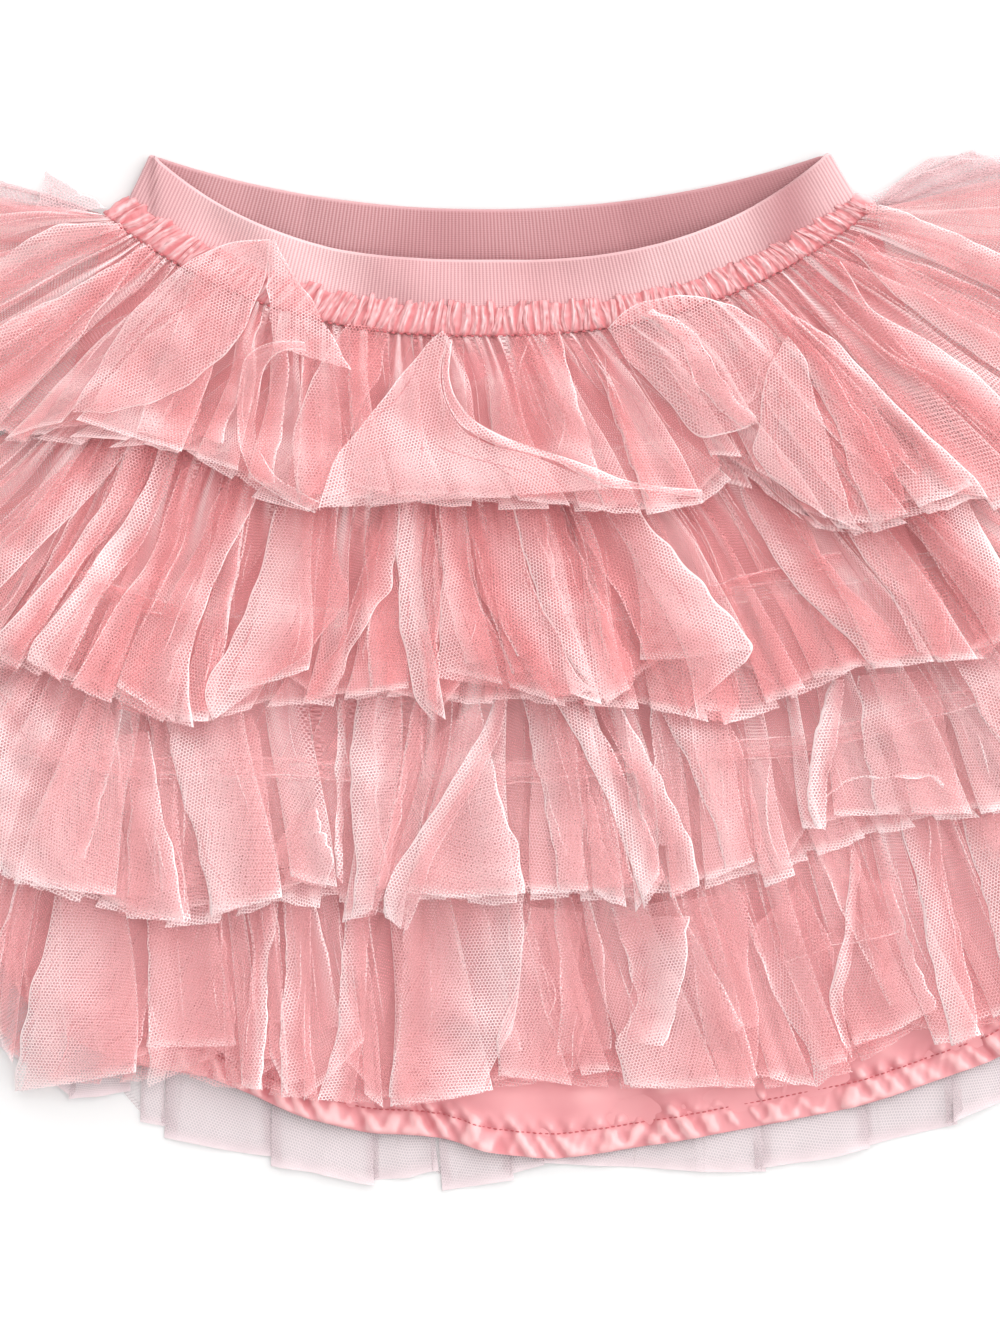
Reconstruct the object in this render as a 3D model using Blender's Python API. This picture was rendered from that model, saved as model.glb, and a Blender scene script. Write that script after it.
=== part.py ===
"""A child's tiered tulle tutu skirt, lying flat on its back.

X runs across the waist, Y from hem to waist, Z up from the surface it lies on.
Sizes are in millimetres until the meshes are made.
"""

import math
from collections import namedtuple

import bpy
import numpy as np
from mathutils import Vector
from mathutils.bvhtree import BVHTree

MM = 0.001

# ---------------------------------------------------------------- named sizes
SEAM_GAP = 0.4  # between pieces sewn edge to edge
CORNER_GAP = 2.0  # and this much more at the loop's two end folds
LAY_GAP = 0.55  # between a piece and what it lies on

BAND_WALL = 1.5
HEADER_WALL = 1.2
HEADER_PUFF = 1.1  # how far a gather of the header swells outwards
PUFF_PITCH = 4.3  # from one gather to the next
BACK_HALF_Z = 1.45  # middle of the band's back half at its end folds
FRONT_HALF_Z = 4.65  # and of its front half
FRONT_HALF_LIFT = 2.6  # the front half stands this much higher at the middle

TULLE_WALL = 1.5
BACK_WALL = 1.2
SATIN_WALL = 1.2
HEM_TURN = 9.0  # depth of the lining's turned hem
HEM_EXTRA = 0.6  # how much thicker the turned hem is

# An edge of the flattened loop: its two end folds, how far its middle sags
# towards the hem, and how square that sag is.
Edge = namedtuple("Edge", "left_x left_y right_x right_y sag power")
FRONT_TOP = Edge(-122.5, 181.3, 115.5, 182.0, 37.5, 2.8)
BACK_TOP = Edge(-122.5, 181.3, 115.5, 182.0, 19.3, 2.1)
FRONT_JOIN = Edge(-130.6, 164.5, 125.3, 165.6, 39.2, 2.5)
BACK_JOIN = Edge(-130.6, 164.5, 125.3, 165.6, 22.4, 2.1)
FRONT_HEADER = Edge(-139.3, 160.3, 132.3, 162.8, 44.1, 2.45)
BACK_HEADER = Edge(-139.3, 160.3, 132.3, 162.8, 27.3, 2.1)

# A ray runs down a piece from its seam to its hem; u is its place across.
Ray = namedtuple("Ray", "u seam_x seam_y hem_x hem_y")
# A fold is a soft ridge down a piece: place across, half width, rise at the hem.
Fold = namedtuple("Fold", "u half rise")

TIER_1 = [
    Ray(0.00, -138.6, 163.1, -206.5, 153.3),
    Ray(0.06, -137.2, 158.9, -212.8, 131.2),
    Ray(0.13, -134.4, 154.0, -208.2, 106.8),
    Ray(0.20, -129.5, 149.4, -187.2, 87.5),
    Ray(0.28, -119.7, 143.1, -149.8, 87.5),
    Ray(0.36, -103.2, 135.1, -115.5, 81.2),
    Ray(0.44, -84.7, 128.4, -89.2, 70.0),
    Ray(0.50, -68.2, 123.2, -62.3, 55.3),
    Ray(0.57, -43.8, 119.0, -37.8, 63.0),
    Ray(0.64, -17.5, 116.5, -5.2, 60.9),
    Ray(0.71, 8.8, 116.9, 26.2, 56.7),
    Ray(0.78, 38.5, 120.0, 69.3, 56.7),
    Ray(0.84, 66.5, 126.3, 96.2, 64.4),
    Ray(0.89, 91.0, 135.1, 129.5, 49.0),
    Ray(0.94, 112.0, 145.6, 166.2, 64.8),
    Ray(0.97, 124.6, 154.7, 196.7, 105.0),
    Ray(1.00, 131.2, 162.4, 197.4, 174.3),
]
TIER_1_FOLDS = [
    Fold(0.04, 0.030, 6.0),
    Fold(0.10, 0.025, 4.0),
    Fold(0.16, 0.030, 7.0),
    Fold(0.24, 0.040, 10.0),
    Fold(0.335, 0.055, 16.0),
    Fold(0.43, 0.035, 11.0),
    Fold(0.505, 0.030, 8.0),
    Fold(0.57, 0.025, 5.0),
    Fold(0.64, 0.030, 7.0),
    Fold(0.71, 0.030, 5.0),
    Fold(0.785, 0.035, 9.0),
    Fold(0.85, 0.025, 6.0),
    Fold(0.90, 0.022, 9.0),
    Fold(0.932, 0.014, 6.0),
    Fold(0.958, 0.014, 8.0),
    Fold(0.985, 0.013, 6.0),
]
TIER_2 = [
    Ray(0.00, -153.3, 95.9, -216.3, 59.5),
    Ray(0.06, -147.0, 91.0, -211.8, 31.5),
    Ray(0.13, -136.5, 85.8, -190.8, 10.5),
    Ray(0.20, -122.5, 81.2, -157.5, 0.7),
    Ray(0.28, -106.8, 78.0, -129.5, -10.5),
    Ray(0.36, -87.5, 74.9, -99.8, -18.9),
    Ray(0.44, -64.8, 72.1, -73.5, -7.0),
    Ray(0.52, -40.2, 70.0, -45.5, -11.2),
    Ray(0.60, -14.7, 68.9, -22.0, -16.8),
    Ray(0.67, 12.2, 69.3, 7.0, -4.2),
    Ray(0.74, 40.2, 71.8, 49.0, -11.9),
    Ray(0.80, 66.5, 75.2, 82.2, -16.8),
    Ray(0.86, 91.0, 79.8, 105.0, 2.8),
    Ray(0.91, 115.5, 85.4, 133.0, 0.7),
    Ray(0.95, 134.8, 91.7, 169.8, 2.8),
    Ray(0.98, 148.8, 97.6, 201.2, 28.0),
    Ray(1.00, 155.8, 102.9, 212.8, 63.0),
]
TIER_2_FOLDS = [
    Fold(0.045, 0.030, 5.0),
    Fold(0.115, 0.028, 7.0),
    Fold(0.185, 0.030, 6.0),
    Fold(0.255, 0.025, 5.0),
    Fold(0.325, 0.030, 8.0),
    Fold(0.395, 0.028, 5.0),
    Fold(0.465, 0.030, 5.0),
    Fold(0.535, 0.024, 4.0),
    Fold(0.60, 0.028, 9.0),
    Fold(0.67, 0.030, 5.0),
    Fold(0.74, 0.028, 6.0),
    Fold(0.805, 0.024, 8.0),
    Fold(0.87, 0.028, 5.0),
    Fold(0.93, 0.025, 7.0),
    Fold(0.978, 0.018, 5.0),
]
TIER_3 = [
    Ray(0.00, -166.6, 35.0, -221.2, -10.5),
    Ray(0.07, -156.8, 30.1, -213.5, -42.0),
    Ray(0.15, -141.0, 25.5, -185.5, -67.2),
    Ray(0.23, -121.8, 21.7, -154.0, -74.9),
    Ray(0.31, -100.8, 18.9, -126.0, -82.6),
    Ray(0.39, -78.0, 16.8, -96.2, -88.2),
    Ray(0.47, -53.5, 15.0, -63.0, -84.7),
    Ray(0.54, -29.0, 14.0, -33.2, -91.0),
    Ray(0.61, -2.8, 13.6, -3.5, -77.0),
    Ray(0.68, 23.4, 15.0, 28.0, -74.2),
    Ray(0.75, 51.4, 18.2, 57.7, -84.7),
    Ray(0.82, 81.2, 22.0, 91.0, -69.3),
    Ray(0.88, 109.2, 27.3, 119.0, -52.5),
    Ray(0.93, 133.7, 31.5, 154.0, -45.5),
    Ray(0.97, 156.4, 37.1, 192.5, -35.0),
    Ray(1.00, 171.5, 43.0, 220.5, 5.2),
]
TIER_3_FOLDS = [
    Fold(0.05, 0.032, 5.0),
    Fold(0.125, 0.030, 6.0),
    Fold(0.20, 0.028, 7.0),
    Fold(0.265, 0.024, 5.0),
    Fold(0.33, 0.030, 7.0),
    Fold(0.40, 0.030, 8.0),
    Fold(0.47, 0.026, 5.0),
    Fold(0.535, 0.026, 9.0),
    Fold(0.605, 0.030, 5.0),
    Fold(0.68, 0.030, 5.0),
    Fold(0.75, 0.028, 7.0),
    Fold(0.815, 0.024, 5.0),
    Fold(0.875, 0.024, 7.0),
    Fold(0.93, 0.024, 6.0),
    Fold(0.975, 0.018, 4.0),
]
TIER_4 = [
    Ray(0.00, -179.2, -22.8, -217.7, -59.5),
    Ray(0.07, -166.2, -28.7, -208.2, -91.0),
    Ray(0.15, -147.0, -34.3, -182.0, -119.0),
    Ray(0.23, -126.0, -37.1, -154.0, -137.2),
    Ray(0.31, -103.2, -38.5, -119.0, -145.6),
    Ray(0.39, -78.8, -39.2, -85.8, -150.5),
    Ray(0.47, -54.2, -39.2, -59.5, -149.1),
    Ray(0.55, -28.0, -38.5, -29.7, -152.6),
    Ray(0.63, 0.0, -37.1, 0.0, -142.1),
    Ray(0.70, 26.2, -35.3, 31.5, -140.7),
    Ray(0.77, 54.2, -32.9, 59.5, -146.3),
    Ray(0.83, 82.2, -29.7, 92.8, -145.6),
    Ray(0.89, 112.0, -25.2, 126.0, -136.5),
    Ray(0.94, 141.8, -19.2, 166.2, -121.8),
    Ray(0.98, 169.8, -11.2, 203.0, -98.0),
    Ray(1.00, 186.2, -3.5, 221.2, -63.0),
]
TIER_4_FOLDS = [
    Fold(0.045, 0.030, 4.0),
    Fold(0.12, 0.030, 5.0),
    Fold(0.195, 0.030, 6.0),
    Fold(0.27, 0.030, 4.0),
    Fold(0.35, 0.032, 6.0),
    Fold(0.43, 0.028, 5.0),
    Fold(0.505, 0.030, 4.5),
    Fold(0.58, 0.028, 6.0),
    Fold(0.65, 0.028, 5.0),
    Fold(0.72, 0.026, 6.0),
    Fold(0.785, 0.026, 5.0),
    Fold(0.85, 0.026, 6.0),
    Fold(0.91, 0.024, 5.0),
    Fold(0.965, 0.022, 4.0),
]
TIER_4_UNDER = [
    Ray(0.00, -177.8, -25.2, -219.8, -67.2),
    Ray(0.07, -164.5, -30.8, -210.0, -101.5),
    Ray(0.15, -145.2, -35.7, -185.5, -138.6),
    Ray(0.23, -124.2, -38.5, -158.2, -154.0),
    Ray(0.31, -102.2, -40.2, -122.5, -158.1),
    Ray(0.39, -77.7, -41.3, -91.0, -174.3),
    Ray(0.47, -53.2, -41.3, -61.2, -178.5),
    Ray(0.55, -28.0, -40.6, -24.5, -182.0),
    Ray(0.63, 0.0, -39.2, 7.0, -175.0),
    Ray(0.70, 26.2, -37.4, 35.0, -177.1),
    Ray(0.77, 54.2, -35.0, 66.5, -177.8),
    Ray(0.83, 82.2, -31.8, 98.0, -174.3),
    Ray(0.89, 112.0, -27.3, 133.0, -168.7),
    Ray(0.94, 141.8, -21.3, 169.8, -156.8),
    Ray(0.98, 169.8, -13.3, 206.5, -119.0),
    Ray(1.00, 184.8, -5.6, 223.3, -73.5),
]
# The back's tiers are cut like the front's and show only past its sides.
BACK_FOLDS = [
    Fold(0.05, 0.035, 3.0),
    Fold(0.14, 0.035, 2.5),
    Fold(0.86, 0.035, 2.5),
    Fold(0.95, 0.035, 3.0),
]
LINING = [
    Ray(0.00, -138.6, 159.6, -191.1, -74.9),
    Ray(0.08, -129.5, 152.6, -177.8, -98.0),
    Ray(0.17, -110.2, 141.4, -154.0, -122.5),
    Ray(0.27, -82.2, 129.5, -122.5, -140.0),
    Ray(0.38, -49.0, 120.4, -70.0, -154.7),
    Ray(0.50, -7.0, 117.2, -17.5, -165.2),
    Ray(0.60, 26.2, 118.3, 35.0, -172.2),
    Ray(0.70, 57.7, 122.8, 87.5, -168.0),
    Ray(0.80, 89.2, 133.0, 140.0, -157.5),
    Ray(0.90, 115.5, 147.0, 185.5, -144.2),
    Ray(1.00, 131.6, 162.0, 214.2, -82.2),
]
LINING_BACK_SHORTER = 3.5  # the back's hem stays hidden behind the front's
LINING_FOLDS = [
    Fold(0.10, 0.05, 0.8),
    Fold(0.22, 0.05, 1.2),
    Fold(0.36, 0.04, 1.6),
    Fold(0.46, 0.04, 2.2),
    Fold(0.58, 0.05, 1.2),
    Fold(0.72, 0.05, 1.0),
    Fold(0.86, 0.05, 1.4),
]

TIER_RINGS = (0.0, 0.07, 0.28, 0.52, 0.77, 1.0)  # places down a tier
UNDER_RINGS = (0.0, 0.22, 0.42, 0.6, 1.0)


# ------------------------------------------------------------------ functions
def smooth(t):
    t = min(max(t, 0.0), 1.0)
    return t * t * (3 - 2 * t)


def edge_point(edge, t):
    """The point of an edge at share t of its width."""
    x = edge.left_x + (edge.right_x - edge.left_x) * t
    y = edge.left_y + (edge.right_y - edge.left_y) * t
    return np.array([x, y - edge.sag * (1 - abs(2 * t - 1) ** edge.power)])


def below(edge, above, t, gap):
    """The point gap further out than edge at share t, away from the edge above."""
    p = edge_point(edge, t)
    out = p - edge_point(above, t)
    corner = CORNER_GAP * max(0.0, 1 - min(t, 1 - t) / 0.035)
    return p + out / np.linalg.norm(out) * (gap + corner)


def between(rows, u):
    """The columns of a table after the first, at place u, by a smooth curve through its rows."""
    at = np.array([r[0] for r in rows])
    values = np.array([r[1:] for r in rows])
    slopes = np.gradient(values, at, axis=0)
    k = int(np.clip(np.searchsorted(at, u) - 1, 0, len(at) - 2))
    span = at[k + 1] - at[k]
    t = (u - at[k]) / span
    a, b = values[k], values[k + 1]
    ma, mb = slopes[k] * span * 0.6, slopes[k + 1] * span * 0.6
    return (
        (2 * t**3 - 3 * t**2 + 1) * a
        + (t**3 - 2 * t**2 + t) * ma
        + (3 * t**2 - 2 * t**3) * b
        + (t**3 - t**2) * mb
    )


def columns(folds, least, widest):
    """Places across a piece: each fold's crest and its two feet, filled in where they are far apart."""
    wanted = {0.0, 1.0}
    for f in folds:
        wanted |= {f.u - f.half, f.u, f.u + f.half}
    kept = [0.0]
    for u in sorted(wanted):
        if u - kept[-1] >= least and (u == 1.0 or 1.0 - u >= least) and u > 0:
            kept.append(u)
    if kept[-1] < 1.0:
        kept.append(1.0)
    filled = [0.0]
    for u in kept[1:]:
        parts = max(1, math.ceil((u - filled[-1]) / widest - 1e-9))
        start = filled[-1]
        filled += [start + (u - start) * (i + 1) / parts for i in range(parts)]
    return filled


def fold_rise(folds, u, v):
    rise = 0.0
    for f in folds:
        away = abs(u - f.u) / f.half
        if away < 1:
            rise = max(rise, f.rise * (1 - smooth(away)))
    return rise * (0.12 + 0.88 * smooth(v * 1.15))


def add_solid(name, points, faces):
    mesh = bpy.data.meshes.new(name)
    mesh.from_pydata([tuple(p) for p in np.asarray(points) * MM], [], faces)
    mesh.validate()
    mesh.update()
    obj = bpy.data.objects.new(name, mesh)
    bpy.context.scene.collection.objects.link(obj)
    return obj


class Pile:
    """What has been laid down so far, as one surface that can be felt from above."""

    def __init__(self):
        self.points, self.faces, self.tree = [], [], None

    def add(self, points, faces):
        start = len(self.points)
        self.points += [tuple(p) for p in points]
        self.faces += [tuple(i + start for i in f) for f in faces]
        self.tree = BVHTree.FromPolygons(self.points, self.faces)

    def top(self, x, y):
        if self.tree is None:
            return 0.0
        hit = self.tree.ray_cast(Vector((x, y, 500)), Vector((0, 0, -1)))[0]
        return hit.z if hit else 0.0


SAMPLES = [
    (a / 7, b / 7, (7 - a - b) / 7) for a in range(8) for b in range(8 - a)
]


def laid(pile, plan, triangles, rise, gap):
    """Heights for the underside of a sheet laid on the pile, at least gap over it everywhere."""
    z = np.zeros(len(plan))
    needs = []
    for tri in triangles:
        corner = plan[list(tri)]
        for w in SAMPLES:
            x, y = np.dot(w, corner)
            needs.append((tri, w, pile.top(x, y)))
        # What lies under it may have a corner between those places.
        if len(pile.points):
            under = np.array(pile.points)
            base = np.column_stack([corner[0] - corner[2], corner[1] - corner[2]])
            share = (under[:, :2] - corner[2]) @ np.linalg.inv(base).T
            inside = (share.min(axis=1) >= 0) & (share.sum(axis=1) <= 1)
            for p, (a, b) in zip(under[inside], share[inside]):
                needs.append((tri, (a, b, 1 - a - b), p[2]))
    for tri, w, top in needs:  # a first height: the most that is felt near each point
        for i, share in zip(tri, w):
            if share > 0.35:
                z[i] = max(z[i], top)
    return z, needs


def lifted(z, needs, gap):
    for _ in range(30):
        for tri, w, top in needs:
            if top <= 0:
                continue
            i, j, k = tri
            short = top + gap - (w[0] * z[i] + w[1] * z[j] + w[2] * z[k])
            if short > 0:
                size = w[0] ** 2 + w[1] ** 2 + w[2] ** 2
                z[i] += short * w[0] / size
                z[j] += short * w[1] / size
                z[k] += short * w[2] / size
    return z


def grid_triangles(nu, nv):
    found = []
    for i in range(nu - 1):
        for j in range(nv - 1):
            a, b = i * nv + j, (i + 1) * nv + j
            if (i + j) % 2:
                found += [(a, a + 1, b + 1), (a, b + 1, b)]
            else:
                found += [(a, a + 1, b), (b, a + 1, b + 1)]
    return found


def rim(nu, nv):
    """The grid's border, once round."""
    return (
        [j for j in range(nv)]
        + [i * nv + nv - 1 for i in range(1, nu)]
        + [(nu - 1) * nv + j for j in range(nv - 2, -1, -1)]
        + [i * nv for i in range(nu - 2, 0, -1)]
    )


def sheet(name, pile, across, down, place, rise, wall, gap=LAY_GAP):
    """A wall laid on the pile. place(u, v) is a point in plan, rise(u, v) what it stands over what it lies on, wall(v) how thick it is."""
    nu, nv = len(across), len(down)
    plan = np.array([place(u, v) for u in across for v in down])
    up = np.array([rise(u, v) for u in across for v in down])
    thick = np.array([wall(v) for u in across for v in down])
    triangles = grid_triangles(nu, nv)
    base, needs = laid(pile, plan, triangles, up, gap)
    grid = base.reshape(nu, nv)
    for _ in range(2):  # cloth bridges small hollows
        near = np.pad(grid, ((1, 1), (0, 0)), mode="edge")
        grid = np.maximum(grid, (near[:-2] + near[2:]) / 2 * 0.85)
    base = np.where(grid.reshape(-1) > 0, grid.reshape(-1) + gap, 0.0)
    low = lifted(base + up, needs, gap)
    low = np.where(low < 0.02, 0.0, low)
    bottom = np.column_stack([plan, low])
    top = np.column_stack([plan, low + thick])
    n = nu * nv
    faces = [tuple(i + n for i in t) for t in triangles]
    faces = [(a, c, b) for a, b, c in triangles] + faces
    border = rim(nu, nv)
    for a, b in zip(border, border[1:] + border[:1]):
        faces += [(a, b, b + n), (a, b + n, a + n)]
    points = np.vstack([bottom, top])
    # Upward faces must turn anticlockwise seen from above.
    a, b, c = (top[list(triangles[0])][k][:2] for k in range(3))
    if np.cross(b - a, c - a) < 0:
        faces = [f[::-1] for f in faces]
    add_solid(name, points, faces)
    pile.add(points, faces)


def loop(name, upper, lower, wall_in, wall_out, us):
    """A flattened loop of strip. upper and lower are (front, back) point functions of u; wall_out(k) is the wall outside its middle surface at station k."""
    radius = (FRONT_HALF_Z - BACK_HALF_Z) / 2
    middle = (FRONT_HALF_Z + BACK_HALF_Z) / 2
    stations = []  # (upper point, lower point, height, outward normal)

    def half(side, order):
        for u in order:
            lift = FRONT_HALF_LIFT * (1 - abs(2 * u - 1) ** 8) if side == 0 else 0.0
            z = (FRONT_HALF_Z if side == 0 else BACK_HALF_Z) + lift
            normal = np.array([0, 0, 1.0 if side == 0 else -1.0])
            stations.append((upper[side](u), lower[side](u), z, normal))

    def turn(u, sign, start):
        a, b = upper[0](u), lower[0](u)
        along = (b - a) / np.linalg.norm(b - a)
        out = np.array([-along[1], along[0]])
        if out[0] * sign < 0:
            out = -out
        for step in range(5):
            angle = math.radians(start * (90 - 45 * step))
            inward = -radius + radius * math.cos(angle)
            normal = np.array([out[0] * math.cos(angle), out[1] * math.cos(angle), math.sin(angle)])
            stations.append((a + out * inward, b + out * inward, middle + radius * math.sin(angle), normal))

    half(0, us)
    turn(1.0, 1, 1)
    half(1, us[::-1])
    turn(0.0, -1, -1)
    points, n = [], len(stations)
    for k, (a, b, z, normal) in enumerate(stations):
        out_at = wall_out(k)
        for p, side in ((a, 1), (b, 1), (b, -1), (a, -1)):
            mid = np.array([p[0], p[1], z])
            points.append(mid + normal * (out_at if side > 0 else -wall_in))
    faces = []
    for k in range(n):
        p, q = 4 * k, 4 * ((k + 1) % n)
        for c in range(4):
            d = (c + 1) % 4
            faces += [(p + c, q + c, q + d), (p + c, q + d, p + d)]
    points = np.array(points)
    volume = sum(np.dot(points[a], np.cross(points[b], points[c])) for a, b, c in faces)
    if volume < 0:
        faces = [f[::-1] for f in faces]
    add_solid(name, points, faces)
    return points, faces


def header_share(x):
    return (x - FRONT_HEADER.left_x) / (FRONT_HEADER.right_x - FRONT_HEADER.left_x)


def down_from_header(edge, join, rays, shorter=0.0):
    """place(u, v) for a piece sewn under the header."""

    def place(u, v):
        seam_x, _, hem_x, hem_y = between(rays, u)
        t = min(max(header_share(seam_x), 0.0), 1.0)
        seam = below(edge, join, t, SEAM_GAP)
        return seam + (np.array([hem_x, hem_y + shorter]) - seam) * v

    return place


def on_lining(rays, seam_up=0.0, hem_down=0.0):
    """place(u, v) for a tier sewn to the lining."""

    def place(u, v):
        seam_x, seam_y, hem_x, hem_y = between(rays, u)
        seam = np.array([seam_x, seam_y + seam_up])
        return seam + (np.array([hem_x, hem_y - hem_down]) - seam) * v

    return place


def tier_rise(folds, hump):
    def rise(u, v):
        arch = hump * math.sin(math.pi * min(v * 1.05, 1.0)) ** 0.8 if v < 0.95 else 0.0
        edges = 1 - abs(2 * u - 1) ** 6
        return arch * edges + fold_rise(folds, u, v)

    return rise


def under_rise(folds):
    def rise(u, v):
        return fold_rise(folds, u, v) if v > 0.5 else 0.0

    return rise


# ---------------------------------------------------------------------- model
for leftover in list(bpy.data.objects):
    bpy.data.objects.remove(leftover)

pile = Pile()

# The back's tiers, laid from the top one, which is outermost, to the bottom one.
# Each is flat on the surface below the hem of the one above it.
across = [0.0, 0.012] + columns(BACK_FOLDS, 0.02, 0.05)[1:-1] + [0.988, 1.0]
constant = lambda wall: (lambda v: wall)
sheet(
    "tier_1_back", pile, across, UNDER_RINGS,
    down_from_header(BACK_HEADER, BACK_JOIN, TIER_1), under_rise(BACK_FOLDS), constant(BACK_WALL),
)
sheet(
    "tier_2_back", pile, across, UNDER_RINGS,
    on_lining(TIER_2, hem_down=3.0), under_rise(BACK_FOLDS), constant(BACK_WALL),
)
sheet(
    "tier_3_back", pile, across, UNDER_RINGS,
    on_lining(TIER_3, hem_down=3.0), under_rise(BACK_FOLDS), constant(BACK_WALL),
)
sheet(
    "tier_4_back", pile, across, UNDER_RINGS,
    on_lining(TIER_4_UNDER), under_rise(BACK_FOLDS), constant(BACK_WALL),
)

# The satin lining, back then front, thicker where its hem is turned.
lining_across = [0.0, 0.012] + columns(LINING_FOLDS, 0.02, 0.05)[1:-1] + [0.988, 1.0]
lining_down = (0.0, 0.12, 0.35, 0.6, 0.82, 0.955, 0.962, 1.0)


def satin(v):
    return SATIN_WALL + (HEM_EXTRA if v > 0.96 else 0.0)


back_across = [0.0, 0.012] + [i / 20 for i in range(1, 20)] + [0.988, 1.0]
sheet(
    "lining_back", pile, back_across, (0.0, 0.06, 0.16, 0.38, 0.62, 0.82, 1.0),
    down_from_header(BACK_HEADER, BACK_JOIN, LINING, LINING_BACK_SHORTER),
    lambda u, v: 0.0, constant(SATIN_WALL),
)
sheet(
    "lining_front", pile, lining_across, lining_down,
    down_from_header(FRONT_HEADER, FRONT_JOIN, LINING),
    lambda u, v: fold_rise(LINING_FOLDS, u, v), satin,
)

# The front's tiers, from the bottom one up.
for name, rays, folds, hump in (
    ("tier_4_front", TIER_4, TIER_4_FOLDS, 4.0),
    ("tier_3_front", TIER_3, TIER_3_FOLDS, 5.0),
    ("tier_2_front", TIER_2, TIER_2_FOLDS, 6.0),
):
    sheet(
        name, pile, columns(folds, 0.012, 0.05), TIER_RINGS,
        on_lining(rays), tier_rise(folds, hump), constant(TULLE_WALL),
    )
sheet(
    "tier_1_front", pile, columns(TIER_1_FOLDS, 0.012, 0.05), TIER_RINGS,
    down_from_header(FRONT_HEADER, FRONT_JOIN, TIER_1),
    tier_rise(TIER_1_FOLDS, 7.0), constant(TULLE_WALL),
)

# The elastic and the gathered header, each one loop.
band_us = [0.013] + [0.04 + 0.92 * i / 22 for i in range(23)] + [0.987]
loop(
    "waistband",
    (lambda u: edge_point(FRONT_TOP, u), lambda u: edge_point(BACK_TOP, u)),
    (lambda u: edge_point(FRONT_JOIN, u), lambda u: edge_point(BACK_JOIN, u)),
    BAND_WALL / 2, lambda k: BAND_WALL / 2, band_us,
)
width = FRONT_HEADER.right_x - FRONT_HEADER.left_x
gathers = round(width / PUFF_PITCH)
puff_us = [0.013] + [0.02 + 0.96 * i / (2 * gathers // 2) for i in range(2 * gathers // 2 + 1)] + [0.987]
loop(
    "gathered_header",
    (
        lambda u: below(FRONT_JOIN, FRONT_TOP, u, SEAM_GAP),
        lambda u: below(BACK_JOIN, BACK_TOP, u, SEAM_GAP),
    ),
    (lambda u: edge_point(FRONT_HEADER, u), lambda u: edge_point(BACK_HEADER, u)),
    HEADER_WALL / 2, lambda k: HEADER_WALL / 2 + (HEADER_PUFF if k % 2 else 0.0) * 0.65, puff_us,
)

# Bring the origin to the middle of the underside's box.
corners = np.array([
    tuple(v.co) for obj in bpy.data.objects for v in obj.data.vertices
])
low, high = corners.min(axis=0), corners.max(axis=0)
shift = Vector((-(low[0] + high[0]) / 2, -(low[1] + high[1]) / 2, -low[2]))
for obj in bpy.data.objects:
    for v in obj.data.vertices:
        v.co += shift
print("shift", [round(c * 1000, 3) for c in shift], "box", (high - low) * 1000)
print("triangles", sum(len(o.data.polygons) for o in bpy.data.objects))
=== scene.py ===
"""The looks of a child's tiered tulle tutu skirt that lies flat on a pale floor.

Sizes are in millimetres until a mesh is made. The drawing's units, used in the tables of
panels, are 0.35 mm: x to the right and y down, with (500, 670) near the skirt's middle.
"""

import math
from collections import namedtuple

import bmesh
import bpy
import numpy as np
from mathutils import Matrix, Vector


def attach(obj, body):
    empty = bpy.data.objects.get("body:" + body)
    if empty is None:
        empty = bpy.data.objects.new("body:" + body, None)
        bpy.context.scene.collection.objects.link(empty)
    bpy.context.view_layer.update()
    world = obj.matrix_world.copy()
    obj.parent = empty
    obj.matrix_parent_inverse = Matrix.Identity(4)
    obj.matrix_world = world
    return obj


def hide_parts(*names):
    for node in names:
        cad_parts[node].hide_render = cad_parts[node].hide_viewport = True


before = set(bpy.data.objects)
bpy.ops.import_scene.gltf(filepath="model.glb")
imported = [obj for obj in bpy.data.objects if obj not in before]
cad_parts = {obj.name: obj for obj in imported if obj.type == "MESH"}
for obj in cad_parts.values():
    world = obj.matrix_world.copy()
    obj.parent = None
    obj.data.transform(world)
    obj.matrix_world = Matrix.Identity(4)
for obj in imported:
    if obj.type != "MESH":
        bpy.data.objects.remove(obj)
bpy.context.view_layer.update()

MM = 0.001
UNIT = 0.35  # one unit of the drawing
SHIFT = np.array([-1.05, -0.443])  # from the drawing's middle to the frame's origin

# ---------------------------------------------------------------- named sizes
BAND_WALL = 1.5
HEADER_WALL = 1.2
BACK_HALF_Z = 1.45
FRONT_HALF_Z = 4.65
FRONT_HALF_LIFT = 2.6
RIB_PITCH = 1.26
RIB_DEPTH = 0.16
PUFF_PITCH = 3.1
STITCH_PITCH = 2.2
NET_CELL = 1.18  # between the holes of the net
HEM_TURN = 8.6
SKY_BASE, SKY_GAIN = 0.61, 1.85
RISE = 0.5  # of the folds' heights in the tables
BAND_ABOVE_SEAM = 6.6  # a tier's heading, between its top edge and its gathering line

Edge = namedtuple("Edge", "left_x left_y right_x right_y sag power")
FRONT_TOP = Edge(-122.5, 181.3, 115.5, 182.0, 37.5, 2.8)
BACK_TOP = Edge(-122.5, 181.3, 115.5, 182.0, 19.3, 2.1)
FRONT_JOIN = Edge(-130.6, 164.5, 125.3, 165.6, 39.2, 2.5)
BACK_JOIN = Edge(-130.6, 164.5, 125.3, 165.6, 22.4, 2.1)
FRONT_HEADER = Edge(-139.3, 160.3, 132.3, 162.8, 44.1, 2.45)
BACK_HEADER = Edge(-139.3, 160.3, 132.3, 162.8, 27.3, 2.1)

# A panel is a broad fold that lies on its neighbours: where its middle starts
# on the seam, its two corners on the hem, how far it bows to the right, how
# far the cloth turns under at its left and right, and how high it stands (mm).
Panel = namedtuple("Panel", "top left_x left_y right_x right_y bow under_left under_right rise")

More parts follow.
